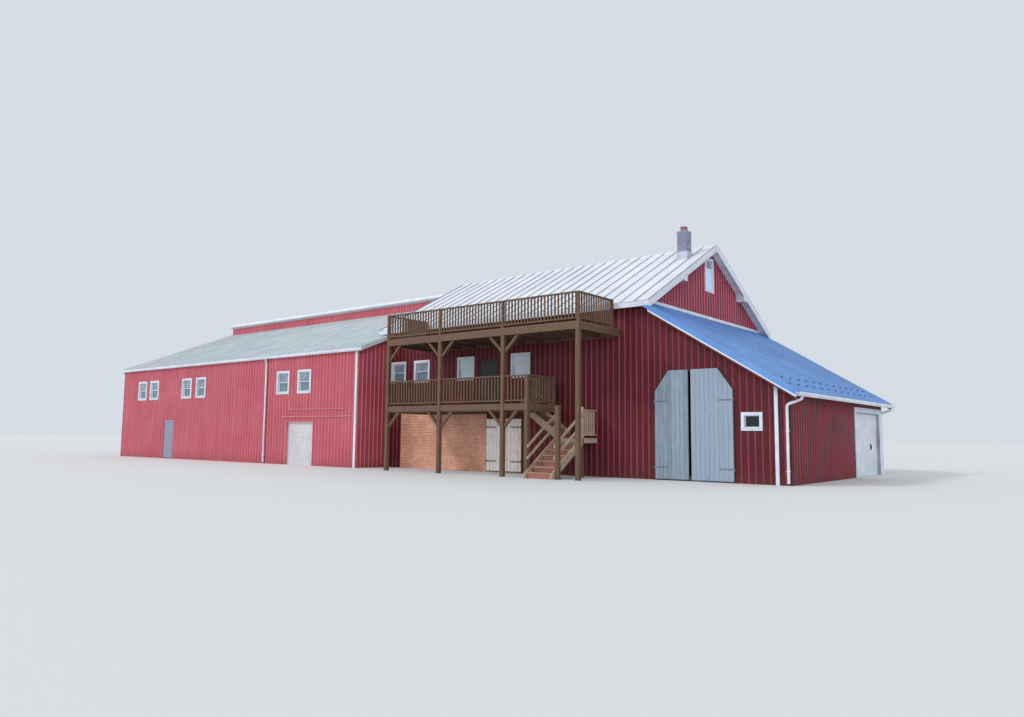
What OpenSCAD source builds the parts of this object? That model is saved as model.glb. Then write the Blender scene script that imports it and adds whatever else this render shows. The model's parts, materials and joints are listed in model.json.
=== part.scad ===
// Red bank barn with a long wing, a lean-to and a two-level timber deck.
// Millimetres. +Z is up, +X runs along the ridge to the lean-to, +Y runs to the back.
// The origin is at the foot of the gable wall, under the ridge.

/* [Main barn] */
// Length of the main barn along its ridge
barn_len = 12650; // [11800:50:13500]
// Depth of the building from front wall to back wall
barn_depth = 10500; // [10000:50:11000]
// Roof height over the outer face of the eave walls
barn_eave = 6160; // [6050:10:6300]
// Roof height at the ridge
ridge_top = 8990; // [8800:10:9300]
// How far the roofs stand out past a gable
gable_over = 360; // [250:10:450]
// How far the roofs stand out past an eave wall
eave_over = 320; // [250:10:400]

/* [Walls and floors] */
// Thickness of the board walls
wall_t = 150; // [120:10:200]
// Thickness of the roof, measured upright
roof_t = 150; // [100:10:200]
// Thickness of the ground slab
slab_t = 150; // [100:10:200]
// Walking height of the upper storey and of the lower deck
storey = 2500; // [2420:10:2600]
// Thickness of the upper floor
floor_t = 200; // [150:10:250]

/* [Lean-to] */
// Width of the lean-to, from the gable wall's centre to its eave wall
lean_w = 4980; // [4700:10:5400]
// Height of its roof against the gable wall
lean_top = 6030; // [5900:10:6060]
// How far its roof stands out past its front and back walls
lean_over = 430; // [300:10:480]
// Height of its roof over the eave wall
lean_eave = 3000; // [2900:10:3100]
// Far side of the vehicle door, from the back wall's outer face
lean_gate_to = 470; // [400:10:1200]
// Width of the vehicle door
lean_gate_w = 3200; // [2900:10:3300]
// Height of the vehicle door
lean_gate_h = 2380; // [2200:10:2450]

/* [Wing] */
// Length of the wing
wing_len = 21300; // [20800:50:21600]
// How far its roofs stand out past its walls
wing_over = 50; // [20:5:150]
// How far the wing's front wall stands in front of the barn's
wing_step = 1900; // [1500:50:2300]
// Height of its roof over the front wall
wing_eave = 5100; // [5000:10:5180]
// Pitch of its front slope, in degrees
wing_pitch = 22; // [20:0.5:23]
// Height of the top of its back slope, over the wall strip between the slopes
wing_crest = 8480; // [8300:10:8550]
// Height of its back slope over the back wall
wing_back_eave = 5850; // [5750:10:5900]
// Width of its vehicle door
wing_gate_w = 2000; // [1900:10:2200]
// Height of its vehicle door
wing_gate_h = 1950; // [1850:10:2050]
// Height of the entrance door
wing_door_h = 1950; // [1900:10:2050]
// Width of the entrance door
wing_door_w = 950; // [850:10:1050]

/* [Barn doors] */
// Left edge of the big doors, from the gable wall's centre
big_door_x = 490; // [400:10:600]
// Height of the foot of the leaves over the ground
leaf_foot = 40; // [20:5:80]
// Width of the left leaf
big_left_w = 1200; // [1100:10:1300]
// Width of the right leaf
big_right_w = 1420; // [1300:10:1500]
// Gap between the two leaves
big_gap = 100; // [20:5:140]
// Height of the big doors
big_door_h = 3600; // [3400:10:3700]
// Width of the cut corners of the leaves
big_clip_w = 500; // [400:10:600]
// Height of the cut corners of the leaves
big_clip_h = 690; // [500:10:800]
// Thickness of a plank leaf
leaf_t = 50; // [40:1:70]
// How far a big leaf overlaps the wall round the doorway
leaf_lap = 70; // [40:5:100]
// Gap between a leaf and what it shuts against
leaf_gap = 6; // [5:0.5:10]
// Gap beside the free edge of a leaf that shuts in its doorway
free_gap = 16; // [14:1:25]
// Width of each leaf under the deck
low_leaf_w = 860; // [800:10:900]
// Height of the leaves under the deck
low_leaf_h = 1900; // [1800:10:2000]
// Width of the door to the lower deck
deck_door_w = 860; // [800:10:900]
// Height of the door to the lower deck
deck_door_h = 1900; // [1850:10:2000]

/* [Windows] */
// Width of a wing window
wing_win_w = 850; // [800:10:950]
// Height of a wing window
wing_win_h = 940; // [850:10:1050]
// Sill height of the wing windows
wing_win_sill = 3290; // [3200:10:3350]
// Width of a barn window over the deck
barn_win_w = 800; // [700:10:850]
// Height of a barn window over the deck
barn_win_h = 820; // [750:10:850]
// Sill height of the barn windows
barn_win_sill = 3680; // [3600:10:3720]
// Width of the small lean-to window
small_win_w = 540; // [450:10:600]
// Height of the small lean-to window
small_win_h = 430; // [380:10:500]
// Width of a window's casing on the wall
casing_w = 70; // [50:5:100]
// How far trim stands out from a wall
trim_out = 25; // [15:1:40]
// Thickness of a window's lining
lining_t = 30; // [20:1:40]
// Thickness of the glass
glass_t = 12; // [8:1:20]

/* [Deck] */
// Depth of the deck in front of the barn
deck_d = 2550; // [2400:10:2800]
// Left end of the deck, from the gable wall's centre
deck_left = 10050; // [9900:10:10080]
// Side of a deck post
post_w = 140; // [120:5:160]
// Walking height of the upper deck
upper_deck = 5140; // [5050:10:5200]
// Thickness of the deck boards
plank_t = 40; // [30:1:50]
// Height of a deck beam
beam_h = 220; // [180:10:240]
// Height of a railing over its deck
rail_h = 980; // [900:10:1050]
// Width of the stair between its two posts
stair_w = 1140; // [1000:10:1200]
// Number of steps up to the lower deck
steps = 13; // [12:1:14]
// Depth of a tread
tread_d = 280; // [260:5:300]
// Depth of the landing by the wall, where the stair turns
landing_d = 930; // [900:10:1000]

/* [Hidden] */

red = "#9c2430";
white = "#e8e8e6";
roof_white = "#d4d8dc";
roof_blue = "#8fb4d8";
timber = "#6e5040";
pale_boards = "#cfd2cc";

// Planes of the walls' outer faces
half_wall = wall_t / 2;
front_y = -barn_depth / 2;
back_y = barn_depth / 2;
wing_front_y = front_y - wing_step;
wing_right_x = -barn_len;
wing_left_x = -barn_len - wing_len;
ridge_wall_y = -wall_t;

// Slopes of the roofs
barn_slope = (ridge_top - barn_eave) / back_y;
wing_slope = tan(wing_pitch);
wing_back_slope = (wing_crest - wing_back_eave) / (back_y - ridge_wall_y);
lean_slope = (lean_top - lean_eave) / (lean_w - half_wall);

// Heights of the roofs' undersides
function barn_under(y) = ridge_top - roof_t - barn_slope * abs(y);
function wing_under(y) = wing_eave - roof_t + wing_slope * (y - wing_front_y);
function wing_back_under(y) = wing_crest - roof_t - wing_back_slope * (y - ridge_wall_y);
function lean_under(x) = lean_top - roof_t - lean_slope * (x - half_wall);

// A hair's breadth between a wall's sloping top and the roof on it
seat = 0.3;
// A joint between two slabs
slab_gap = 10;
// Anything longer than what it cuts
beyond = 1000;

// Strap hinges: an eye on the leaf turns on a pin that stands on the wall
pin_r = 10;
pin_gap = 0.3;
eye_r = 22;
eye_h = 60;
strap_l = 500;
strap_h = 50;
strap_t = 8;
hinge_inset = 350;
// How far a hinge's axis stands out from the wall when the leaf shuts in its doorway
axis_out = 26;

// Doorways that open
big_door_r = big_door_x + big_left_w + big_gap + big_right_w;
big_hole_l = big_door_x + leaf_lap;
big_hole_r = big_door_r - leaf_lap;
big_hole_h = big_door_h - leaf_lap;
low_door_l = -6970;
low_door_r = low_door_l + 2 * low_leaf_w + 2 * leaf_gap + free_gap;
low_door_top = slab_t + low_leaf_h;
deck_door_l = -7320;
deck_door_r = deck_door_l + deck_door_w + leaf_gap + free_gap;
deck_door_top = storey + deck_door_h;
wing_door_from = 16130;
wing_door_l = wing_right_x - wing_door_from;
wing_door_r = wing_door_l + wing_door_w + leaf_gap + free_gap;
wing_door_top = slab_t + wing_door_h;

// Vehicle doors that stay shut
lean_gate_y = back_y - lean_gate_to - lean_gate_w;
wing_gate_from = 4850;
wing_gate_x = wing_right_x - wing_gate_from;
gate_t = 50;

// Windows: how far their centres stand from the corner where barn and wing meet
wing_window_from = [18850, 17480, 13930, 12500, 5220, 3600];
wing_back_window_from = [18850, 17480, 13930, 9350, 5220, 3600];
corner_window_from = [570, 2010];
wing_windows = [for (d = wing_window_from) wing_right_x - d];
wing_back_windows = [for (d = wing_back_window_from) wing_right_x - d];
corner_windows = [for (d = corner_window_from) wing_right_x + d];
// Windows of the main barn: centres along X, from the gable wall's centre
deck_window_l = -8110;
deck_window_r = -5280;
barn_windows_left = concat(corner_windows, [deck_window_l]);
barn_windows_right = [deck_window_r];
barn_back_windows = [corner_windows[1], deck_window_l, deck_window_r, -2400];
small_win_from = 1190;
small_win_x = lean_w - small_win_from;
small_win_sill = 1690;
// Windows of the wing's end: centres along Y
end_windows = [-4700, -2300, 1500];

// A box given by its low and high corners
module block(low, high) {
    translate(low) cube(high - low);
}

// A piece with one outline in x and z, from y = low to y = high
module slice_y(low, high, points) {
    translate([0, high, 0]) rotate([90, 0, 0]) linear_extrude(high - low) polygon(points);
}

// A piece with one outline in y and z, from x = low to x = high
module slice_x(low, high, points) {
    translate([low, 0, 0]) rotate([90, 0, 90]) linear_extrude(high - low) polygon(points);
}

// The space over the main roof's underside
module over_barn(low, high) {
    out = back_y + beyond;
    slice_x(low, high, [
        [-out, barn_under(out) - seat], [0, barn_under(0) - seat], [out, barn_under(out) - seat],
        [out, ridge_top + beyond], [-out, ridge_top + beyond]]);
}

// The space over the wing's front slope
module over_wing_front(low, high) {
    out = wing_front_y - beyond;
    slice_x(low, high, [
        [out, wing_under(out) - seat], [0, wing_under(0) - seat],
        [0, ridge_top + beyond], [out, ridge_top + beyond]]);
}

// The space over the wing's back slope
module over_wing_back(low, high) {
    out = back_y + beyond;
    slice_x(low, high, [
        [0, wing_back_under(0) - seat], [out, wing_back_under(out) - seat],
        [out, ridge_top + beyond], [0, ridge_top + beyond]]);
}

// Windows in a wall along X. The wall's outer face is at y = face and looks along out.
module hole_x(face, x, sill, w, h) {
    block([x - w / 2, face - beyond / 2, sill], [x + w / 2, face + beyond / 2, sill + h]);
}

module frame_x(face, x, sill, w, h, out) {
    inner = face - out * wall_t;
    near = face + out * trim_out;
    difference() {
        union() {
            block([x - w / 2, min(inner, face), sill], [x + w / 2, max(inner, face), sill + h]);
            block([x - w / 2 - casing_w, min(near, face), sill - casing_w],
                [x + w / 2 + casing_w, max(near, face), sill + h + casing_w]);
        }
        hole_x(face, x, sill + lining_t, w - 2 * lining_t, h - 2 * lining_t);
    }
}

module pane_x(face, x, sill, w, h, out) {
    middle = face - out * half_wall;
    block([x - w / 2 + lining_t, middle - glass_t / 2, sill + lining_t],
        [x + w / 2 - lining_t, middle + glass_t / 2, sill + h - lining_t]);
}

// Windows in the wing's end wall, turned from the ones above
module turned_to_end() {
    translate([wing_left_x, 0, 0]) rotate([0, 0, -90]) children();
}

module end_hole(y) {
    turned_to_end() hole_x(0, -y, wing_win_sill, wing_win_w, wing_win_h);
}

// Floors

module floor_slab(low_x, high_x, low_y, bottom, top) {
    block([low_x, low_y + wall_t, bottom], [high_x, back_y - wall_t, top]);
}

// The barn's floors stop short of the wing's by a joint
barn_floor_l = wing_right_x - half_wall + slab_gap;

module barn_floor() {
    color("#8d8d88") floor_slab(barn_floor_l, -half_wall, front_y, 0, slab_t);
}

module wing_floor() {
    color("#8d8d88") floor_slab(wing_left_x + wall_t, wing_right_x - half_wall, wing_front_y, 0, slab_t);
}

module lean_to_floor() {
    color("#8d8d88") floor_slab(half_wall, lean_w - wall_t, front_y, 0, slab_t);
}

module barn_upper_floor() {
    color("#8a6a4c") difference() {
        floor_slab(barn_floor_l, -half_wall, front_y, storey - floor_t, storey);
        chimney_hole();
    }
}

module wing_upper_floor() {
    color("#8a6a4c")
        floor_slab(wing_left_x + wall_t, wing_right_x - half_wall, wing_front_y, storey - floor_t, storey);
}

// Front wall of the main barn: brick and doors under the deck, boards elsewhere

brick_from = 780;
brick_l = wing_right_x + brick_from;

module front_box(low, high, bottom, top) {
    block([low, front_y, bottom], [high, front_y + wall_t, top]);
}

module brick_wall() {
    color("#a8583c") front_box(brick_l, low_door_l, 0, storey);
}

module front_wall_lower() {
    color(red) {
        front_box(wing_right_x + half_wall, brick_l, 0, storey);
        front_box(low_door_r, -half_wall, 0, storey);
    }
}

module front_wall_over_low_doors() {
    color(red) front_box(low_door_l, low_door_r, low_door_top, storey);
}

module front_wall_upper(low, high, bottom, windows) {
    difference() {
        front_box(low, high, bottom, barn_under(front_y + wall_t));
        over_barn(low - 1, high + 1);
        for (x = windows) hole_x(front_y, x, barn_win_sill, barn_win_w, barn_win_h);
    }
}

module front_wall_upper_left() {
    color(red) front_wall_upper(wing_right_x + half_wall, deck_door_l, storey, barn_windows_left);
}

module front_wall_upper_right() {
    color(red) front_wall_upper(deck_door_r, -half_wall, storey, barn_windows_right);
}

module front_wall_over_deck_door() {
    color(red) front_wall_upper(deck_door_l, deck_door_r, deck_door_top, []);
}

// Walls of the lean-to

function lean_wall_top(x) = lean_under(x) - seat;

module lean_to_wall_left() {
    color(red) slice_y(front_y, front_y + wall_t, [
        [half_wall, 0], [big_hole_l, 0], [big_hole_l, lean_wall_top(big_hole_l)],
        [half_wall, lean_wall_top(half_wall)]]);
}

module lean_to_wall_over_doors() {
    color(red) slice_y(front_y, front_y + wall_t, [
        [big_hole_l, big_hole_h - big_clip_h], [big_hole_l + big_clip_w, big_hole_h],
        [big_hole_r - big_clip_w, big_hole_h], [big_hole_r, big_hole_h - big_clip_h],
        [big_hole_r, lean_wall_top(big_hole_r)], [big_hole_l, lean_wall_top(big_hole_l)]]);
}

module lean_to_wall_right() {
    color(red) difference() {
        slice_y(front_y, front_y + wall_t, [
            [big_hole_r, 0], [lean_w, 0], [lean_w, lean_wall_top(lean_w)],
            [big_hole_r, lean_wall_top(big_hole_r)]]);
        hole_x(front_y, small_win_x, small_win_sill, small_win_w, small_win_h);
    }
}

module lean_to_back_wall() {
    color(red) slice_y(back_y - wall_t, back_y, [
        [half_wall, 0], [lean_w, 0], [lean_w, lean_wall_top(lean_w)], [half_wall, lean_wall_top(half_wall)]]);
}

module lean_to_eave_wall() {
    inner = lean_w - wall_t;
    color(red) difference() {
        slice_y(front_y + wall_t, back_y - wall_t, [
            [inner, 0], [lean_w, 0], [lean_w, lean_wall_top(lean_w)], [inner, lean_wall_top(inner)]]);
        block([lean_w - beyond / 2, lean_gate_y, -1],
            [lean_w + beyond / 2, lean_gate_y + lean_gate_w, lean_gate_h]);
    }
}

// Gable wall between the barn and the lean-to, with a tall louvre near its top

louvre_w = 660;
louvre_bottom = 7190;
louvre_h = 1250;
louvre_frame = 60;
// A flat panel closes it below its slats
louvre_open = 300;
panel_back = half_wall - 40;
panel_t = 25;
slat_t = 20;
slat_step = 75;
slat_angle = 40;

module louvre_hole(side) {
    block([-beyond, side * -louvre_w / 2, louvre_bottom],
        [beyond, side * louvre_w / 2, louvre_bottom + louvre_h]);
}

module gable_wall() {
    color(red) difference() {
        slice_x(-half_wall, half_wall, [
            [front_y, 0], [back_y, 0], [back_y, barn_under(back_y) - seat],
            [0, barn_under(0) - seat], [front_y, barn_under(front_y) - seat]]);
        louvre_hole(1);
    }
}

module gable_louvre() {
    inside = louvre_w / 2 - louvre_frame;
    bottom = louvre_bottom + louvre_frame;
    top = louvre_bottom + louvre_h - louvre_frame;
    color(white) {
        difference() {
            union() {
                block([-half_wall, -louvre_w / 2, louvre_bottom],
                    [half_wall, louvre_w / 2, louvre_bottom + louvre_h]);
                block([half_wall, -louvre_w / 2 - casing_w, louvre_bottom - casing_w],
                    [half_wall + trim_out, louvre_w / 2 + casing_w, louvre_bottom + louvre_h + casing_w]);
            }
            block([-beyond, -inside, bottom], [beyond, inside, top]);
        }
        block([panel_back, -inside, bottom], [panel_back + panel_t, inside, top - louvre_open]);
        intersection() {
            block([-half_wall, -inside, top - louvre_open - panel_t], [half_wall, inside, top]);
            for (z = [top - louvre_open : slat_step : top + slat_step])
                translate([0, 0, z - slat_step / 4]) rotate([0, slat_angle, 0])
                    cube([wall_t, 2 * inside + 1, slat_t], center = true);
        }
    }
}

// Back walls

module back_box(low, high) {
    block([low, back_y - wall_t, 0], [high, back_y, ridge_top]);
}

module barn_back_wall() {
    color(red) difference() {
        back_box(wing_right_x + half_wall, -half_wall);
        over_barn(wing_right_x, 0);
        for (x = barn_back_windows) hole_x(back_y, x, barn_win_sill, barn_win_w, barn_win_h);
    }
}

module wing_back_wall() {
    color(red) difference() {
        back_box(wing_left_x, wing_right_x + half_wall);
        over_wing_back(wing_left_x - 1, wing_right_x + wall_t);
        for (x = wing_back_windows) hole_x(back_y, x, wing_win_sill, wing_win_w, wing_win_h);
    }
}

// Walls of the wing

module wing_front_piece(low, high, bottom, windows) {
    difference() {
        block([low, wing_front_y, bottom], [high, wing_front_y + wall_t, wing_under(wing_front_y + wall_t)]);
        over_wing_front(low - 1, high + 1);
        for (x = windows) hole_x(wing_front_y, x, wing_win_sill, wing_win_w, wing_win_h);
    }
}

module wing_front_wall_left() {
    color(red) wing_front_piece(wing_left_x, wing_door_l, 0, [for (x = wing_windows) if (x < wing_door_l) x]);
}

module wing_front_wall_over_door() {
    color(red) wing_front_piece(wing_door_l, wing_door_r, wing_door_top, []);
}

module wing_front_wall_right() {
    color(red) difference() {
        wing_front_piece(wing_door_r, wing_right_x + half_wall, 0,
            [for (x = wing_windows) if (x > wing_door_r) x]);
        block([wing_gate_x, wing_front_y - beyond / 2, -1],
            [wing_gate_x + wing_gate_w, wing_front_y + beyond / 2, wing_gate_h]);
    }
}

module wing_return_wall() {
    color(red) slice_x(wing_right_x - half_wall, wing_right_x + half_wall, [
        [wing_front_y + wall_t, 0], [front_y + wall_t, 0],
        [front_y + wall_t, wing_under(front_y + wall_t) - seat],
        [wing_front_y + wall_t, wing_under(wing_front_y + wall_t) - seat]]);
}

module wing_end_wall() {
    color(red) difference() {
        slice_x(wing_left_x, wing_left_x + wall_t, [
            [wing_front_y + wall_t, 0], [back_y - wall_t, 0],
            [back_y - wall_t, wing_back_under(back_y - wall_t) - seat],
            [ridge_wall_y, wing_back_under(ridge_wall_y) - seat],
            [ridge_wall_y, wing_under(ridge_wall_y) - seat],
            [wing_front_y + wall_t, wing_under(wing_front_y + wall_t) - seat]]);
        for (y = end_windows) end_hole(y);
    }
}

module wing_ridge_wall() {
    color(red) slice_x(wing_left_x + wall_t, wing_right_x - half_wall, [
        [ridge_wall_y, wing_under(ridge_wall_y)], [0, wing_under(ridge_wall_y)],
        [0, wing_back_under(0) - seat], [ridge_wall_y, wing_back_under(ridge_wall_y) - seat]]);
}

// The barn's own gable where it stands over the wing's lower roofs
module barn_left_gable() {
    color(red) slice_x(wing_right_x - half_wall, wing_right_x + half_wall, [
        [front_y, wing_under(front_y)], [ridge_wall_y, wing_under(ridge_wall_y)],
        [ridge_wall_y, wing_back_under(ridge_wall_y)], [back_y, wing_back_under(back_y)],
        [back_y, barn_under(back_y) - seat], [0, barn_under(0) - seat],
        [front_y, barn_under(front_y) - seat]]);
}

// Roofs

// How far the wing's front roof stands out past the return wall
wing_right_over = 270;

module barn_roof() {
    out = back_y + eave_over;
    color(roof_white) difference() {
        slice_x(wing_right_x - half_wall - gable_over, half_wall + gable_over, [
            [-out, barn_under(out)], [0, barn_under(0)], [out, barn_under(out)],
            [out, barn_under(out) + roof_t], [0, ridge_top], [-out, barn_under(out) + roof_t]]);
        chimney_hole();
    }
}

module wing_front_roof() {
    out = wing_front_y - wing_over;
    end = wing_right_x - half_wall;
    color(roof_white) {
        slice_x(wing_left_x - wing_over, end, [
            [out, wing_under(out)], [ridge_wall_y, wing_under(ridge_wall_y)],
            [ridge_wall_y, wing_under(ridge_wall_y) + roof_t], [out, wing_under(out) + roof_t]]);
        slice_x(end, wing_right_x + half_wall + wing_right_over, [
            [out, wing_under(out)], [front_y, wing_under(front_y)],
            [front_y, wing_under(front_y) + roof_t], [out, wing_under(out) + roof_t]]);
    }
}

module wing_back_roof() {
    out = back_y + wing_over;
    front = ridge_wall_y - roof_t;
    color(roof_white) slice_x(wing_left_x - wing_over, wing_right_x - half_wall, [
        [front, wing_back_under(front)], [out, wing_back_under(out)],
        [out, wing_back_under(out) + roof_t], [front, wing_back_under(front) + roof_t]]);
}

lean_edge_x = lean_w + eave_over;
lean_front_y = front_y - lean_over;
lean_back_y = back_y + lean_over;

// A strip along the lean-to roof, between two heights over its underside
module lean_strip(low, high, low_y, high_y, bottom, top) {
    slice_y(low_y, high_y, [
        [low, lean_under(low) + bottom], [high, lean_under(high) + bottom],
        [high, lean_under(high) + top], [low, lean_under(low) + top]]);
}

module lean_to_roof() {
    color(roof_blue) difference() {
        lean_strip(half_wall, lean_edge_x, lean_front_y, lean_back_y, 0, roof_t);
        over_barn(0, half_wall + gable_over + 1);
    }
}

// Chimney on the front slope, down to the ground

chimney_x = -430;
chimney_y = -1120;
chimney_w = 400;
chimney_rise = 400;
chimney_top = ridge_top + chimney_rise;
flue_w = 200;
flue_out = 220;
flue_wall = 30;

module flue_box(w, bottom, top) {
    block([chimney_x - w / 2, chimney_y - w / 2, bottom], [chimney_x + w / 2, chimney_y + w / 2, top]);
}

// The hole that the chimney takes in floors and roof
module chimney_hole() {
    flue_box(chimney_w, -1, ridge_top + beyond);
}

module chimney() {
    color("#8b7d74") difference() {
        flue_box(chimney_w, slab_t, chimney_top);
        flue_box(flue_w, storey, chimney_top + 1);
    }
}

module chimney_flue() {
    color("#b0583c") difference() {
        flue_box(flue_w, chimney_top - flue_out, chimney_top + flue_out);
        flue_box(flue_w - 2 * flue_wall, chimney_top - flue_out - 1, chimney_top + flue_out + 1);
    }
}

// Vehicle doors, shut and set back in their doorways, with white casings on the wall

module garage_doors() {
    color(white) {
        block([lean_w - wall_t, lean_gate_y, 0],
            [lean_w - wall_t + gate_t, lean_gate_y + lean_gate_w, lean_gate_h]);
        block([wing_gate_x, wing_front_y + wall_t - gate_t, 0],
            [wing_gate_x + wing_gate_w, wing_front_y + wall_t, wing_gate_h]);
    }
}

module window_frames() {
    color(white) {
        for (x = wing_windows) frame_x(wing_front_y, x, wing_win_sill, wing_win_w, wing_win_h, -1);
        for (x = concat(barn_windows_left, barn_windows_right))
            frame_x(front_y, x, barn_win_sill, barn_win_w, barn_win_h, -1);
        for (x = wing_back_windows) frame_x(back_y, x, wing_win_sill, wing_win_w, wing_win_h, 1);
        for (x = barn_back_windows) frame_x(back_y, x, barn_win_sill, barn_win_w, barn_win_h, 1);
        for (y = end_windows) turned_to_end() frame_x(0, -y, wing_win_sill, wing_win_w, wing_win_h, -1);
        frame_x(front_y, small_win_x, small_win_sill, small_win_w, small_win_h, -1);
    }
}

module window_glass() {
    color("#9fb8c8") {
        for (x = wing_windows) pane_x(wing_front_y, x, wing_win_sill, wing_win_w, wing_win_h, -1);
        for (x = concat(barn_windows_left, barn_windows_right))
            pane_x(front_y, x, barn_win_sill, barn_win_w, barn_win_h, -1);
        for (x = wing_back_windows) pane_x(back_y, x, wing_win_sill, wing_win_w, wing_win_h, 1);
        for (x = barn_back_windows) pane_x(back_y, x, barn_win_sill, barn_win_w, barn_win_h, 1);
        for (y = end_windows) turned_to_end() pane_x(0, -y, wing_win_sill, wing_win_w, wing_win_h, -1);
        pane_x(front_y, small_win_x, small_win_sill, small_win_w, small_win_h, -1);
    }
}

// Boards along the sloping roof edges, with boxed ends of the roof beams in the gable

rake_t = 40;
rake_h = 110;
box_w = 260;
box_h = 210;
box_at = 0.5;

module rake_boards() {
    outer = half_wall + gable_over;
    side = back_y + eave_over;
    wing_out = wing_front_y - wing_over;
    wing_back_out = back_y + wing_over;
    color(white) {
        difference() {
            union() {
                slice_x(outer - rake_t, outer, [
                    [-side, barn_under(side) - rake_h], [0, barn_under(0) - rake_h],
                    [side, barn_under(side) - rake_h], [side, barn_under(side) - seat],
                    [0, barn_under(0) - seat], [-side, barn_under(side) - seat]]);
                for (s = [-1, 1]) slice_x(half_wall, outer, [
                    [s * box_at * back_y, barn_under(box_at * back_y) - rake_h - box_h],
                    [s * box_at * back_y, barn_under(box_at * back_y) - seat],
                    [s * (box_at * back_y + box_w), barn_under(box_at * back_y + box_w) - seat],
                    [s * (box_at * back_y + box_w), barn_under(box_at * back_y) - rake_h - box_h]]);
            }
            lean_strip(half_wall - 1, outer + 1, -back_y - beyond, back_y + beyond, -beyond, roof_t + seat);
        }
        for (y = [lean_front_y, lean_back_y - rake_t])
            lean_strip(outer + leaf_gap, lean_edge_x, y, y + rake_t, -rake_h, -seat);
        slice_x(wing_left_x - wing_over, wing_left_x, [
            [wing_out, wing_under(wing_out) - rake_h], [ridge_wall_y, wing_under(ridge_wall_y) - rake_h],
            [ridge_wall_y, wing_under(ridge_wall_y) - seat], [wing_out, wing_under(wing_out) - seat]]);
        slice_x(wing_left_x - wing_over, wing_left_x, [
            [ridge_wall_y, wing_back_under(ridge_wall_y) - rake_h],
            [wing_back_out, wing_back_under(wing_back_out) - rake_h],
            [wing_back_out, wing_back_under(wing_back_out) - seat],
            [ridge_wall_y, wing_back_under(ridge_wall_y) - seat]]);
    }
}

// White boards on the walls: corners, the post board by the lean-to's corner, door casings, and
// the strip that closes the lean-to roof against the gable

corner_w = 130;
post_board_from = 480;
post_board_w = 110;
post_board_x = lean_w - post_board_from;
gate_casing = 180;
strip_h = 110;

// A white casing round a vehicle door, drawn flat: the door's own outline is cut out. Its far side
// covers the wall up to the corner.
module casing_outline(w, h, far) {
    difference() {
        translate([-gate_casing, 0]) square([gate_casing + w + far, h + gate_casing]);
        translate([0, -1]) square([w, h + 1]);
    }
}

module white_boards() {
    color(white) {
        block([post_board_x, front_y - trim_out, 0],
            [post_board_x + post_board_w, front_y, lean_wall_top(post_board_x + post_board_w)]);
        for (x = [wing_left_x, wing_right_x + half_wall - corner_w])
            block([x, wing_front_y - trim_out, 0],
                [x + corner_w, wing_front_y, wing_under(wing_front_y - trim_out) - seat]);
        translate([lean_w, lean_gate_y, 0]) rotate([90, 0, 90]) linear_extrude(trim_out)
            casing_outline(lean_gate_w, lean_gate_h, lean_gate_to);
        difference() {
            block([half_wall, front_y, lean_under(half_wall) + roof_t + seat],
                [half_wall + trim_out, back_y, lean_under(half_wall) + roof_t + strip_h]);
            over_barn(0, half_wall + beyond);
        }
    }
}

// Gutters along the lean-to's eave and the wing's front eave, with their downspouts

gutter_w = 120;
gutter_wall = 6;
gutter_drop = 40;
gutter_top = lean_under(lean_edge_x) + roof_t - gutter_drop;
wing_edge_y = wing_front_y - wing_over;
wing_gutter_top = wing_under(wing_edge_y) + roof_t - gutter_drop;

// A gutter seen from its end, with its back at x = 0 and its bottom at y = 0
module gutter_profile() {
    difference() {
        polygon([
            [0, 0], [0.7 * gutter_w, 0], [gutter_w, 0.45 * gutter_w], [gutter_w, gutter_w],
            [0, gutter_w]]);
        polygon([
            [gutter_wall, gutter_wall], [0.7 * gutter_w - gutter_wall / 2, gutter_wall],
            [gutter_w - gutter_wall, 0.45 * gutter_w + gutter_wall / 2],
            [gutter_w - gutter_wall, gutter_w + 1], [gutter_wall, gutter_w + 1]]);
    }
}

module gutters() {
    color(white) {
        translate([lean_edge_x, lean_back_y, gutter_top - gutter_w]) rotate([90, 0, 0])
            linear_extrude(lean_back_y - lean_front_y) gutter_profile();
        translate([wing_left_x - wing_over, wing_edge_y, wing_gutter_top - gutter_w])
            rotate([90, 0, 90]) mirror([1, 0, 0])
                linear_extrude(wing_len + wing_over + half_wall + wing_right_over) gutter_profile();
    }
}

pipe_w = 90;
pipe_gap = 20;
pipe_foot = 60;
// How far a pipe falls while it runs in to its wall, and how thick it is there, measured upright
pipe_fall = 0.36;
pipe_slant = pipe_w * sqrt(1 + pipe_fall * pipe_fall);
// Straps that hold a pipe to its wall: how high they sit, how wide and thick they are
pipe_straps = [400, 1600];
pipe_strap_w = 40;
pipe_strap_t = 3;
wing_pipe_from = 6560;
wing_pipe_x = wing_right_x - wing_pipe_from;
lean_pipe_from = 125;
lean_pipe_x = lean_w - lean_pipe_from;

// A bent downspout in the plane of its two directions: down, across and down again
module pipe_path(top, reach, elbow, foot) {
    turn = top - elbow;
    polygon([
        [0, top], [pipe_w, top], [pipe_w, turn], [reach + pipe_w, turn - pipe_fall * reach],
        [reach + pipe_w, foot], [reach, foot], [reach, turn - pipe_slant - pipe_fall * (reach - pipe_w)],
        [0, turn - pipe_slant + pipe_fall * pipe_w]]);
}

// A strap round a pipe, fixed to the wall behind it
module pipe_strap(x, wall, z) {
    block([x - pipe_strap_t, wall - pipe_gap - pipe_w - pipe_strap_t, z],
        [x + pipe_w + pipe_strap_t, wall, z + pipe_strap_w]);
}

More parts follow.
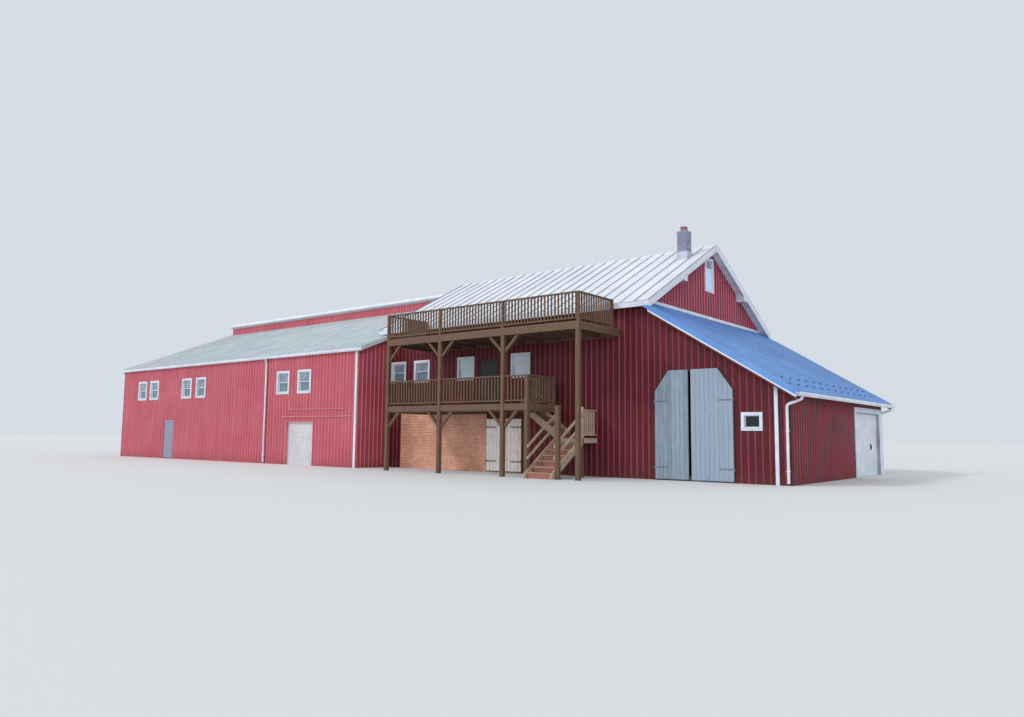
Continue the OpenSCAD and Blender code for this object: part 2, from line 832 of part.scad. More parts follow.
module downspouts() {
    lean_reach = lean_edge_x + pipe_gap - lean_pipe_x;
    wing_reach = wing_over;
    color(white) {
        // The lean-to's gutter drains at both of its ends
        for (back = [0, 1]) mirror([0, back, 0]) {
            translate([lean_edge_x + pipe_gap + pipe_w, front_y - pipe_gap, 0]) rotate([90, 0, 0])
                mirror([1, 0, 0]) linear_extrude(pipe_w)
                    pipe_path(gutter_top - gutter_w, lean_reach, pipe_gap, pipe_foot);
            for (z = pipe_straps) pipe_strap(lean_pipe_x, front_y, z);
        }
        translate([wing_pipe_x, wing_edge_y - pipe_gap - pipe_w, 0]) rotate([90, 0, 90])
            linear_extrude(pipe_w) pipe_path(wing_gutter_top - gutter_w, wing_reach, pipe_gap, pipe_foot);
        for (z = pipe_straps) pipe_strap(wing_pipe_x, wing_front_y, z);
    }
}

// Deck in front of the barn. Posts stand on its front line, the stair between two of them.

deck_front_y = front_y - deck_d;
post_back_y = deck_front_y + post_w;
stair_l = -2960;
stair_r = stair_l + stair_w;
upper_right = -880;
// Left sides of the posts that reach the upper deck
main_posts = [-deck_left, -7210, -4160];
corner_post = upper_right - post_w;
newel_left_h = storey + rail_h;
newel_right_h = 2400;
joist_w = 80;
rail_t = 45;
lower_frame_z = storey - plank_t;
upper_frame_z = upper_deck - plank_t;
post_top = upper_frame_z - beam_h;

// The stair climbs between its two posts to a landing by the wall, and turns left up to the deck
riser = storey / steps;
landing_step = 7;
landing_z = landing_step * riser;
landing_y = front_y - landing_d;
stair_start_y = landing_y - (landing_step - 1) * tread_d;
upper_run = (steps - landing_step - 1) * tread_d;
well_l = stair_l - upper_run;

module deck_post(x, top) {
    block([x, deck_front_y, 0], [x + post_w, post_back_y, top]);
}

module deck_posts() {
    color(timber) {
        for (x = concat(main_posts, [corner_post])) deck_post(x, post_top);
        deck_post(stair_l - post_w, newel_left_h);
        deck_post(stair_r, newel_right_h);
        for (x = [stair_l, stair_r - 2 * rail_t])
            block([x, landing_y, 0], [x + 2 * rail_t, landing_y + 2 * rail_t, landing_z - plank_t]);
    }
}

// A slanting brace from a post's side up to the underside of a beam
module knee_brace(x, side, top) {
    reach = 620;
    thick = 90;
    slice_y(post_back_y - thick, post_back_y, [
        [x, top - reach], [x + side * reach, top],
        [x + side * (reach - 1.4 * thick), top], [x, top - reach + 1.4 * thick]]);
}

module deck_braces() {
    color(timber) for (x = main_posts) for (top = [post_top, storey - beam_h]) {
        knee_brace(x + post_w, 1, top);
        if (x > -deck_left) knee_brace(x, -1, top);
    }
}

// The boards leave a well for the stair's upper flight
module lower_deck() {
    color(timber) difference() {
        block([-deck_left, post_back_y, lower_frame_z], [stair_l, front_y, storey]);
        block([well_l, landing_y, lower_frame_z - 1], [stair_l + 1, front_y + 1, storey + 1]);
    }
}

// Beams and joists under a deck, from x = low to x = high, with their top at z
module deck_frame(low, high, front, back, z, count) {
    block([low, front, z - beam_h], [high, front + joist_w, z]);
    block([low, back - joist_w, z - beam_h], [high, back, z]);
    for (i = [0 : count - 1]) {
        x = low + i * (high - low - joist_w) / (count - 1);
        block([x, front + joist_w, z - beam_h], [x + joist_w, back - joist_w, z]);
    }
}

// A front beam between two posts, its top level with the deck
module front_beam(low, high) {
    block([low, deck_front_y + rail_t / 2, storey - beam_h], [high, post_back_y, storey]);
}

module lower_deck_frame() {
    color(timber) {
        front_beam(main_posts[0] + post_w, main_posts[1]);
        front_beam(main_posts[1] + post_w, main_posts[2]);
        front_beam(main_posts[2] + post_w, stair_l - post_w);
        deck_frame(-deck_left, well_l, post_back_y, front_y, lower_frame_z, 8);
        deck_frame(well_l, stair_l, post_back_y, landing_y, lower_frame_z, 3);
    }
}

module upper_deck_boards() {
    block([-deck_left, deck_front_y, upper_frame_z], [upper_right, front_y, upper_deck]);
}

module upper_deck_frame() {
    color(timber) deck_frame(-deck_left, upper_right, deck_front_y, front_y, upper_frame_z, 12);
}

rail_foot = 80;
baluster_step = 140;

// A railing along X that stands on a deck at height z
module railing_x(low, high, y, z, h) {
    count = floor((high - low) / baluster_step);
    block([low, y - rail_t, z + h - rail_t], [high, y + rail_t, z + h]);
    block([low, y - rail_t / 2, z + rail_foot], [high, y + rail_t / 2, z + rail_foot + rail_t]);
    for (i = [1 : count - 1]) {
        x = low + i * (high - low) / count;
        block([x - rail_t / 2, y - rail_t / 2, z + rail_foot],
            [x + rail_t / 2, y + rail_t / 2, z + h - rail_t / 2]);
    }
}

// The same railing along Y
module railing_y(low, high, x, z, h) {
    translate([x, 0, 0]) rotate([0, 0, 90]) railing_x(low, high, 0, z, h);
}

// A short post that carries a railing
module rail_post(x, y, z, h) {
    block([x, y, z], [x + 2 * rail_t, y + 2 * rail_t, z + h]);
}

module lower_railings() {
    y = deck_front_y + post_w / 2;
    color(timber) {
        for (i = [0 : len(main_posts) - 2])
            railing_x(main_posts[i] + post_w, main_posts[i + 1], y, storey, rail_h);
        railing_x(main_posts[2] + post_w, stair_l - post_w, y, storey, rail_h);
        railing_y(post_back_y, front_y, -deck_left + rail_t, storey, rail_h);
        railing_y(post_back_y, landing_y - 2 * rail_t, stair_l - rail_t, storey, rail_h);
        railing_x(well_l, stair_l - 2 * rail_t, landing_y - rail_t, storey, rail_h);
        for (x = [well_l, stair_l])
            rail_post(x - 2 * rail_t, landing_y - 2 * rail_t, storey, rail_h + rail_t);
    }
}

module upper_railings() {
    y = deck_front_y + rail_t;
    end = front_y - eave_over - 2 * rail_t;
    posts = concat(main_posts, [upper_right - 2 * rail_t]);
    color(timber) {
        for (x = posts) rail_post(x, deck_front_y, upper_deck, rail_h - rail_t);
        for (x = [posts[0], posts[3]]) rail_post(x, end - 2 * rail_t, upper_deck, rail_h - rail_t);
        railing_x(-deck_left, upper_right, y, upper_deck, rail_h);
        railing_y(deck_front_y + 2 * rail_t, end, -deck_left + rail_t, upper_deck, rail_h);
        railing_y(deck_front_y + 2 * rail_t, end, upper_right - rail_t, upper_deck, rail_h);
    }
}

// Stair: two flights between side boards that rise a little over the treads

stringer_t = 45;
stringer_h = 250;
stringer_up = 50;
step_slope = riser / tread_d;
tread_nose = 20;
landing_beam_h = 140;
hand_h = 780;
hand_w = 90;

// Height of the line through the lower flight's front edges
function nose_z(y) = riser + step_slope * (y - stair_start_y);

// A side board's outline: along the flight from its first riser, and up from the flight's foot
function flight_side(from, to, low) = [
    [from, low], [(low + stringer_h - riser) / step_slope, low],
    [to, riser + to * step_slope - stringer_h], [to, riser + to * step_slope],
    [to - stringer_up / step_slope, riser + to * step_slope],
    [from, riser + from * step_slope + stringer_up]];

// Beams under the landing, between its posts and the wall
module landing_frame() {
    top = landing_z - plank_t;
    low = top - landing_beam_h;
    post = 2 * rail_t;
    block([stair_l + post, landing_y, low], [stair_r - post, landing_y + stringer_t, top]);
    for (x = [stair_l, stair_r - stringer_t])
        block([x, landing_y + post, low], [x + stringer_t, front_y, top]);
    block([stair_l + stringer_t, front_y - stringer_t, low], [stair_r - stringer_t, front_y, top]);
}

module stair_stringers() {
    color(timber) {
        for (x = [stair_l, stair_r - stringer_t]) slice_x(x, x + stringer_t, [
            for (p = flight_side(-tread_d / 2, landing_y - stair_start_y, 0)) [stair_start_y + p[0], p[1]]]);
        for (y = [landing_y + stringer_t, front_y - stringer_t]) slice_y(y, y + stringer_t, [
            for (p = flight_side(0, upper_run, -plank_t)) [stair_l - p[0], landing_z + p[1]]]);
        landing_frame();
    }
}

module stair_treads() {
    color(timber) {
        for (i = [1 : landing_step - 1]) {
            y = stair_start_y + (i - 1) * tread_d;
            block([stair_l + stringer_t, y - tread_nose, i * riser - plank_t],
                [stair_r - stringer_t, y + tread_d, i * riser]);
        }
        block([stair_l, landing_y, landing_z - plank_t], [stair_r, front_y, landing_z]);
        for (i = [landing_step + 1 : steps - 1]) {
            x = stair_l - (i - landing_step - 1) * tread_d;
            block([x - tread_d, landing_y + 2 * stringer_t, i * riser - plank_t],
                [x + tread_nose, front_y - stringer_t, i * riser]);
        }
    }
}

// Handrails: a top board and a lower board beside each flight, newels and a railing on the landing
module stair_railings() {
    head = well_l - 2 * rail_t;
    color(timber) {
        for (h = [hand_h / 2, hand_h]) {
            for (x = [stair_l, stair_r - stringer_t]) slice_x(x, x + stringer_t, [
                [deck_front_y, nose_z(deck_front_y) + h], [landing_y, landing_z + h],
                [landing_y, landing_z + h + hand_w], [deck_front_y, nose_z(deck_front_y) + h + hand_w]]);
            foot_z = landing_z + riser + h;
            head_z = foot_z + (stair_l - head) * step_slope;
            slice_y(landing_y, landing_y + stringer_t, [
                [stair_l, foot_z], [head, head_z], [head, head_z + hand_w], [stair_l, foot_z + hand_w]]);
        }
        for (x = [stair_l, stair_r - 2 * rail_t]) rail_post(x, landing_y, landing_z, rail_h + 2 * rail_t);
        railing_y(landing_y + 2 * rail_t, front_y, stair_r - rail_t, landing_z, rail_h);
    }
}

// Doors that open

// The eye and strap of a hinge, on a leaf that reaches from its axis towards side
module strap_hinge(axis, z, side, face) {
    ends = [axis[0] + side * leaf_gap, axis[0] + side * strap_l];
    difference() {
        union() {
            translate([axis[0], axis[1], z]) cylinder(h = eye_h, r = eye_r, $fn = 48);
            block([min(ends), face - strap_reach(axis, face), z], [max(ends), face, z + strap_h]);
        }
        translate([axis[0], axis[1], z - 1]) cylinder(h = eye_h + 2, r = pin_r + pin_gap, $fn = 48);
    }
}

// A strap is thick enough to reach its eye
function strap_reach(axis, face) = max(strap_t, face - axis[1] - eye_r + pin_r);

// The pin that an eye turns on, with the arm that carries it from the wall's face
module hinge_pin(axis, z, wall_face) {
    translate([axis[0], axis[1], z - pin_gap]) cylinder(h = eye_h + pin_r, r = pin_r, $fn = 48);
    block([axis[0] - pin_r, axis[1] - pin_r, z - pin_gap - 2 * pin_r],
        [axis[0] + pin_r, wall_face, z - pin_gap]);
}

leaf_back = front_y - leaf_gap;
leaf_face = leaf_back - leaf_t;
big_left_axis = [big_door_x - 2 * pin_r, leaf_face];
big_right_axis = [big_door_r + 2 * pin_r, leaf_face];
low_left_axis = [low_door_l, front_y - axis_out];
low_right_axis = [low_door_r, front_y - axis_out];
deck_door_axis = [deck_door_l, front_y - axis_out];
wing_door_axis = [wing_door_l, wing_front_y - axis_out];
big_hinges = [leaf_foot + hinge_inset, big_door_h - big_clip_h - hinge_inset];
low_hinges = [leaf_foot + hinge_inset, low_door_top - hinge_inset];
deck_door_hinges = [storey + hinge_inset, deck_door_top - hinge_inset];
wing_door_hinges = [leaf_foot + hinge_inset, wing_door_top - hinge_inset];

// A big plank leaf with one cut corner, its hinge edge at x = 0 and its free edge at x = w
module big_leaf(w) {
    slice_y(leaf_face, leaf_back, [
        [0, leaf_foot], [w, leaf_foot], [w, big_door_h], [big_clip_w, big_door_h],
        [0, big_door_h - big_clip_h]]);
}

module big_door_left() {
    color(pale_boards) {
        translate([big_door_x, 0, 0]) big_leaf(big_left_w);
        for (z = big_hinges) strap_hinge(big_left_axis, z, 1, leaf_face);
    }
}

module big_door_right() {
    color(pale_boards) {
        translate([big_door_r, 0, 0]) mirror([1, 0, 0]) big_leaf(big_right_w);
        for (z = big_hinges) strap_hinge(big_right_axis, z, -1, leaf_face);
    }
}

// A leaf that shuts in its doorway, from its low x to its high x
module inset_leaf(low, high, wall_face, bottom, top) {
    block([low, wall_face + leaf_gap, bottom], [high, wall_face + leaf_gap + leaf_t, top - leaf_gap]);
}

module low_door_left() {
    left = low_door_l + leaf_gap;
    color(pale_boards) {
        inset_leaf(left, left + low_leaf_w, front_y, leaf_foot, low_door_top);
        for (z = low_hinges) strap_hinge(low_left_axis, z, 1, front_y + leaf_gap);
    }
}

module low_door_right() {
    right = low_door_r - leaf_gap;
    color(pale_boards) {
        inset_leaf(right - low_leaf_w, right, front_y, leaf_foot, low_door_top);
        for (z = low_hinges) strap_hinge(low_right_axis, z, -1, front_y + leaf_gap);
    }
}

module deck_door() {
    left = deck_door_l + leaf_gap;
    color("#3a3c40") {
        inset_leaf(left, left + deck_door_w, front_y, storey + leaf_gap, deck_door_top);
        for (z = deck_door_hinges) strap_hinge(deck_door_axis, z, 1, front_y + leaf_gap);
    }
}

module wing_door() {
    left = wing_door_l + leaf_gap;
    color("#9a98aa") {
        inset_leaf(left, left + wing_door_w, wing_front_y, leaf_foot, wing_door_top);
        for (z = wing_door_hinges) strap_hinge(wing_door_axis, z, 1, wing_front_y + leaf_gap);
    }
}

module hinge_pins() {
    color("#2e2e30") {
        for (z = big_hinges) for (axis = [big_left_axis, big_right_axis]) hinge_pin(axis, z, front_y);
        for (z = low_hinges) for (axis = [low_left_axis, low_right_axis]) hinge_pin(axis, z, front_y);
        for (z = deck_door_hinges) hinge_pin(deck_door_axis, z, front_y);
        for (z = wing_door_hinges) hinge_pin(wing_door_axis, z, wing_front_y);
    }
}

barn_floor();
wing_floor();
lean_to_floor();
barn_upper_floor();
wing_upper_floor();
brick_wall();
front_wall_lower();
front_wall_over_low_doors();
front_wall_upper_left();
front_wall_upper_right();
front_wall_over_deck_door();
lean_to_wall_left();
lean_to_wall_over_doors();
lean_to_wall_right();
lean_to_eave_wall();
lean_to_back_wall();
gable_wall();
barn_back_wall();
wing_front_wall_left();
wing_front_wall_over_door();
wing_front_wall_right();
wing_back_wall();
wing_end_wall();
wing_return_wall();
wing_ridge_wall();
barn_left_gable();
barn_roof();
wing_front_roof();
wing_back_roof();
lean_to_roof();
chimney();
chimney_flue();
gable_louvre();
garage_doors();
window_frames();
window_glass();
rake_boards();
white_boards();
gutters();
downspouts();
deck_posts();
deck_braces();
lower_deck();
lower_deck_frame();
upper_deck_boards();
upper_deck_frame();
lower_railings();
upper_railings();
stair_stringers();
stair_treads();
stair_railings();
big_door_left();
big_door_right();
low_door_left();
low_door_right();
deck_door();
wing_door();
hinge_pins();
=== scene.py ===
"""A red bank barn with a long wing, a lean-to and a two-level timber deck.

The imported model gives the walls, roofs, deck and doors.  This script adds what is finer than
they are: ribs on the wall sheets, seams on the roofs, bricks, boards, sashes, rain pipes and
door planks, and it gives each surface its finish.  All lengths are in metres, in the frame of
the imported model: x along the ridge, y from the deck to the back, z up.
"""

import json
import logging
import math
import random
from collections.abc import Callable, Iterable, Sequence
from dataclasses import dataclass
from enum import Enum

import bpy
import bmesh
from mathutils import Matrix, Vector

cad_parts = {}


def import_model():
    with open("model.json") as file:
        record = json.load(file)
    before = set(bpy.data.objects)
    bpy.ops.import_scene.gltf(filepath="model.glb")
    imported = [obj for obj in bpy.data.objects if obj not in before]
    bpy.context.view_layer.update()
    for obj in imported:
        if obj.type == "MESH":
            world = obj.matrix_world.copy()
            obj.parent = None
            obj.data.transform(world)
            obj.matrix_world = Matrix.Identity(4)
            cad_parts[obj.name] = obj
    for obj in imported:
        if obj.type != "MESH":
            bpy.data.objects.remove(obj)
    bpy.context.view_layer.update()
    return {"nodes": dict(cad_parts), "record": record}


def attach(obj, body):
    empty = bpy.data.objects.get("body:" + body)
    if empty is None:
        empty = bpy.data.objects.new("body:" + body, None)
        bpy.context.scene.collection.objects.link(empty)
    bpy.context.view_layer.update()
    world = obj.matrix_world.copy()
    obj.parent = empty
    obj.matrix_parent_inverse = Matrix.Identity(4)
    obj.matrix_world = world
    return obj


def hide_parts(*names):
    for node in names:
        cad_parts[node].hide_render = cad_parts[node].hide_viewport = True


log = logging.getLogger("barn")

MM = 0.001
INCH = 0.0254
BUILDING = "building"
ALONG_X, ALONG_Y, UP = Vector((1, 0, 0)), Vector((0, 1, 0)), Vector((0, 0, 1))

Piece = bpy.types.Object
Tree = bpy.types.NodeTree
Socket = bpy.types.NodeSocket
Face = bmesh.types.BMFace
Point = tuple[float, float, float]
Span = tuple[float, float]
Pair = tuple[float, float]
Hole = tuple[float, float, float, float]
Rule = Callable[[float], float]


# ---------------------------------------------------------------- modelling


class Side(Enum):
    """The way a wall looks, as its outward direction in plan."""

    FRONT = (0, -1)
    BACK = (0, 1)
    RIGHT = (1, 0)
    LEFT = (-1, 0)

    def stand(
        self, plane: float, u: float, z: float, out: float = 0.0, wide: float = 1.0, tall: float = 1.0
    ) -> Matrix:
        """A matrix that stands a template against the wall; the template looks towards -y.

        Args:
            plane: where the wall's outer face stands on its own axis.
            u: how far along the wall, in the positive direction of x or y.
            z: height.
            out: how far in front of the face.
            wide: stretch along the wall.
            tall: stretch upwards.

        Returns:
            The matrix.
        """
        x, y = self.value
        outward, along = Vector((x, y, 0)), Vector((abs(y), abs(x), 0))
        origin = plane * Vector((abs(x), abs(y), 0)) + along * u + outward * out + UP * z
        return frame_matrix(origin, along * wide, -outward, UP * tall)


def deselect() -> None:
    """Leaves edit mode and deselects every object."""
    if bpy.context.mode != "OBJECT":
        bpy.ops.object.mode_set(mode="OBJECT")
    bpy.ops.object.select_all(action="DESELECT")


def activate(piece: Piece) -> None:
    """Makes a piece the only selected and active object."""
    deselect()
    piece.select_set(True)
    bpy.context.view_layer.objects.active = piece


def soften(piece: Piece, width: float, cuts: int = 1) -> Piece:
    """Bevels a piece's edges with a modifier and applies it.

    Args:
        piece: the object.
        width: bevel width in metres.
        cuts: cuts across each bevel.

    Returns:
        The piece.
    """
    activate(piece)
    bevel = piece.modifiers.new("Bevel", "BEVEL")
    bevel.width = width
    bevel.segments = cuts
    bevel.limit_method = "ANGLE"
    bpy.ops.object.modifier_apply(modifier=bevel.name)
    return piece


def block(
    name: str, low: Sequence[float], high: Sequence[float], soft: float = 0.0, cuts: int = 1
) -> Piece:
    """Adds a cube primitive at its size and place.

    Args:
        name: the new object's name.
        low: lowest corner.
        high: highest corner.
        soft: bevel width of its edges, 0 for none.
        cuts: cuts across each bevel.

    Returns:
        The object, at the origin, with its place in its mesh.
    """
    deselect()
    bpy.ops.mesh.primitive_cube_add(size=1, location=[(a + b) / 2 for a, b in zip(low, high)])
    piece = bpy.context.active_object
    piece.name = piece.data.name = name
    piece.scale = [b - a for a, b in zip(low, high)]
    bpy.ops.object.transform_apply(location=True, rotation=True, scale=True)
    return soften(piece, soft, cuts) if soft else piece


def facing(way: Vector, both: bool = False) -> Callable[[Face], bool]:
    """A test for faces that look in a direction, or also against it."""
    measure = abs if both else float
    return lambda face: measure(face.normal.dot(way)) > 0.9


def pick_faces(piece: Piece, test: Callable[[Face], bool]) -> None:
    """Enters edit mode with only the faces selected that pass a test.

    Args:
        piece: the object to edit.
        test: says whether a face is wanted.
    """
    activate(piece)
    bpy.ops.object.mode_set(mode="EDIT")
    bpy.ops.mesh.select_mode(type="FACE")
    bpy.ops.mesh.select_all(action="DESELECT")
    for face in bmesh.from_edit_mesh(piece.data).faces:
        face.select_set(bool(test(face)))
    bmesh.update_edit_mesh(piece.data)


def shape(
    piece: Piece,
    test: Callable[[Face], bool],
    inset: float = 0.0,
    lift: Sequence[float] = (),
    move: Sequence[float] = (),
    size: Sequence[float] = (),
) -> Piece:
    """Insets, extrudes, moves and resizes a piece's faces, in this order and where given.

    Args:
        piece: the object.
        test: says whether a face is wanted.
        inset: how far the faces are drawn in.
        lift: how far they are extruded, as x, y and z.
        move: how far they are moved.
        size: what they are scaled by.

    Returns:
        The piece.
    """
    pick_faces(piece, test)
    if inset:
        bpy.ops.mesh.inset(thickness=inset)
    if lift:
        bpy.ops.mesh.extrude_region_move(TRANSFORM_OT_translate={"value": lift})
    if move:
        bpy.ops.transform.translate(value=move)
    if size:
        bpy.ops.transform.resize(value=size)
    deselect()
    return piece


def hollow(piece: Piece, way: Vector, rim: float) -> Piece:
    """Insets the two faces across a way and bridges them, which leaves a ring.

    Args:
        piece: the object.
        way: the direction of the hole.
        rim: how broad the ring is.

    Returns:
        The piece.
    """
    pick_faces(piece, facing(way, both=True))
    bpy.ops.mesh.inset(thickness=rim)
    bpy.ops.mesh.bridge_edge_loops()
    deselect()
    return piece


def cut(piece: Piece, normal: Sequence[float], *points: Sequence[float], away: bool = False) -> Piece:
    """Bisects a piece by one or more parallel planes.

    Args:
        piece: the object to cut.
        normal: the planes' direction.
        *points: a point on each plane.
        away: drops what is on the normal's side and closes the cut.

    Returns:
        The piece.
    """
    activate(piece)
    bpy.ops.object.mode_set(mode="EDIT")
    for point in points:
        bpy.ops.mesh.select_all(action="SELECT")
        bpy.ops.mesh.bisect(plane_co=point, plane_no=normal, use_fill=away, clear_outer=away)
    bpy.ops.object.mode_set(mode="OBJECT")
    return piece


def drape(piece: Piece, height: Callable[[Vector], float]) -> Piece:
    """Moves each vertex up or down to the height that a rule gives for its place.

    Args:
        piece: the object.
        height: gives the new height for a place.

    Returns:
        The piece.
    """
    activate(piece)
    bpy.ops.object.mode_set(mode="EDIT")
    for vert in bmesh.from_edit_mesh(piece.data).verts:
        vert.co.z = height(vert.co)
    bmesh.update_edit_mesh(piece.data)
    deselect()
    return piece


def frame_matrix(origin: Sequence[float], side: Vector, along: Vector, up: Vector) -> Matrix:
    """A matrix that carries a template's x, y and z to three directions at a place."""
    matrix = Matrix((side, along, up)).transposed().to_4x4()
    matrix.translation = Vector(origin)
    return matrix


def join(pieces: Sequence[Piece], name: str) -> Piece:
    """Joins pieces into one, under a name.

    Args:
        pieces: the pieces; the first one stays.
        name: its new name.

    Returns:
        The joined piece.
    """
    deselect()
    for piece in pieces:
        piece.select_set(True)
    bpy.context.view_layer.objects.active = pieces[0]
    if len(pieces) > 1:
        bpy.ops.object.join()
    pieces[0].name = pieces[0].data.name = name
    return pieces[0]


def spread(
    template: Piece, places: Iterable[Matrix], name: str, seed: int = 1, tones: Sequence[float] = ()
) -> Piece:
    """Copies a template to each place and joins the copies into one piece.

    Each copy has its own mesh and its own tone, a number from 0 to 1 that its finish reads, and
    the template is deleted.

    Args:
        template: the modelled piece.
        places: one matrix for each copy.
        name: the joined piece's name.
        seed: fixes the tones that chance gives.
        tones: the tone of each copy, where chance doesn't give it.

    Returns:
        The joined piece.
    """
    chance = random.Random(seed)
    count = len(template.data.vertices)
    copies = []
    for number, matrix in enumerate(places):
        mesh = template.data.copy()
        mesh.transform(matrix)
        if matrix.determinant() < 0:
            mesh.flip_normals()
        tone = mesh.attributes.new("tone", "FLOAT", "POINT")
        tone.data.foreach_set("value", [tones[number] if tones else chance.random()] * count)
        copies.append(bpy.data.objects.new(name, mesh))
        bpy.context.scene.collection.objects.link(copies[-1])
    bpy.data.objects.remove(template)
    return join(copies, name)


def hand_in(
    piece: Piece, finish: "Finish", body: str = BUILDING, instead_of: Sequence[str] = ()
) -> Piece:
    """Dresses a new piece, hangs it on its body and reports it.

    Args:
        piece: the finished piece.
        finish: its finish, which also names the record's slot.
        body: the body it moves with.
        instead_of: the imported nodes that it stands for.

    Returns:
        The piece.
    """
    finish.dress(piece)
    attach(piece, body)
    if instead_of:
        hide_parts(*instead_of)
    log.info("%s: %d faces on %s", piece.name, len(piece.data.polygons), body)
    return piece


# ---------------------------------------------------------------- finishes


def linear(code: str) -> tuple[float, ...]:
    """Turns an sRGB hex colour into linear values.

    Args:
        code: the colour as "#rrggbb".

    Returns:
        Red, green, blue and 1.
    """
    parts = [int(code[i : i + 2], 16) / 255 for i in (1, 3, 5)]
    return (*(c / 12.92 if c <= 0.04045 else ((c + 0.055) / 1.055) ** 2.4 for c in parts), 1.0)


def node(tree: Tree, kind: str, stops: Sequence[tuple[float, str]] = (), **given: object) -> bpy.types.Node:
    """Adds a shader node with its settings, values and links.

    Args:
        tree: the material's node tree.
        kind: the node's type name after "ShaderNode".
        stops: a colour ramp's places and colours.
        **given: a setting under its own name, an input under its label with "_" for a space, or
            in0, in1 by number.  A node or a socket is linked, and a hex colour is made linear.

    Returns:
        The node.
    """
    made = tree.nodes.new(f"ShaderNode{kind}")
    if stops:
        elements = made.color_ramp.elements
        elements.remove(elements[1])
        elements[0].position, elements[0].color = stops[0][0], linear(stops[0][1])
        for at, colour in stops[1:]:
            elements.new(at).color = linear(colour)
    for key, value in given.items():
        numbered = key[2:].isdigit()
        if key[0].islower() and not numbered:
            setattr(made, key, value)
            continue
        socket = made.inputs[int(key[2:]) if numbered else key.replace("_", " ")]
        if isinstance(value, bpy.types.Node):
            value = value.outputs[0]
        if isinstance(value, Socket):
            tree.links.new(value, socket)
        else:
            socket.default_value = linear(value) if isinstance(value, str) else value
    return made


def stretched_noise(
    tree: Tree, place: Socket, stretch: Point, scale: float, detail: float = 4.0
) -> Socket:
    """A noise pattern drawn out along an axis, such as grain or rain streaks.

    Args:
        tree: the material's node tree.
        place: the point to read.
        stretch: how many times finer it is along x, y and z.
        scale: spots in a metre.
        detail: how many finer layers it has.

    Returns:
        The pattern, from 0 to 1.
    """
    moved = node(tree, "Mapping", in0=place, Scale=stretch)
    made = node(tree, "TexNoise", Vector=moved, Scale=scale, Detail=detail, Roughness=0.6)
    return made.outputs["Fac"]


# The stretch of a pattern that is alike along all axes.
EVEN = (1.0, 1.0, 1.0)


@dataclass(frozen=True)
class Finish:
    """What every finish has: a material name, the record's slot, colours and gloss."""

    name: str
    slot: str
    colour: str
    worn: str
    roughness: float = 0.5

    def material(self) -> bpy.types.Material:
        """The material, made once and then reused."""
        made = bpy.data.materials.get(self.name)
        if not made:
            made = bpy.data.materials.new(self.name)
            made.use_nodes = True
            tree = made.node_tree
            tree.nodes.clear()
            place = node(tree, "TexCoord").outputs["Object"]
            inputs = {"Roughness": self.roughness, **self.draw(tree, place)}
            node(tree, "OutputMaterial", Surface=node(tree, "BsdfPrincipled", **inputs))
            made.diffuse_color = linear(self.colour)
        return made

    def dress(self, piece: Piece) -> None:
        """Gives a piece this finish and no other."""
        piece.data.materials.clear()
        piece.data.materials.append(self.material())

    def draw(self, tree: Tree, place: Socket) -> dict[str, object]:
        """Draws the finish's colour and relief; each kind of finish has its own.

        Args:
            tree: the material's node tree.
            place: the point in the piece's own frame.

        Returns:
            The shader's inputs.
        """
        raise NotImplementedError


@dataclass(frozen=True)
class PaintedSheet(Finish):
    """Roll-formed steel sheet, oven-painted: satin, with rain streaks and a chalky bloom."""

    streak: Point = (5.0, 5.0, 0.35)
    foot: str = "#5a3a34"
    foot_height: float = 0.5
    minor_ribs: bool = True
    gloss: float = 0.3

    def draw(self, tree: Tree, place: Socket) -> dict[str, object]:
        """Streaks run down the sheet, dust sits at its foot, and small ribs lie between the big ones."""
        streaks = stretched_noise(tree, place, self.streak, 1.0)
        patches = stretched_noise(tree, place, EVEN, 0.7, 3.0)
        blend = node(tree, "Math", operation="MULTIPLY", in0=streaks, in1=patches)
        paint = node(tree, "ValToRGB", [(0.16, self.colour), (0.42, self.worn)], Fac=blend)
        axes = node(tree, "SeparateXYZ", in0=place).outputs
        relief = speckle = stretched_noise(tree, place, EVEN, 14.0)
        dust = node(
            tree, "MapRange", clamp=True, in0=axes["Z"], in1=0.0, in2=self.foot_height, in3=0.55, in4=0.0
        )
        dust = node(tree, "Math", operation="MULTIPLY", in0=dust, in1=speckle)
        mixed = node(tree, "Mix", data_type="RGBA", in0=dust, in6=paint, in7=self.foot)
        if self.minor_ribs:
            # Small ribs 5 mm high, six to each 9 inch pitch; x + y runs along any wall of this plan.
            run = node(tree, "Math", operation="ADD", in0=axes["X"], in1=axes["Y"])
            turns = node(tree, "Math", operation="MULTIPLY", in0=run, in1=6 * math.pi / (9 * INCH))
            wave = node(tree, "Math", operation="SINE", in0=turns)
            relief = node(tree, "Math", operation="POWER", use_clamp=True, in0=wave, in1=6.0)
        return {
            "Base_Color": mixed.outputs[2],
            "Roughness": node(
                tree, "MapRange", in0=streaks, in3=self.roughness - 0.08, in4=self.roughness + 0.15
            ),
            "Specular_IOR_Level": self.gloss,
            "Normal": node(tree, "Bump", Strength=0.5, Distance=5 * MM, Height=relief),
        }


@dataclass(frozen=True)
class RoofSheet(PaintedSheet):
    """Painted steel or zinc on a roof: streaks run down its slope, and it has no foot and no small ribs."""

    streak: Point = (4.0, 0.5, 0.5)
    foot_height: float = 0.01
    minor_ribs: bool = False


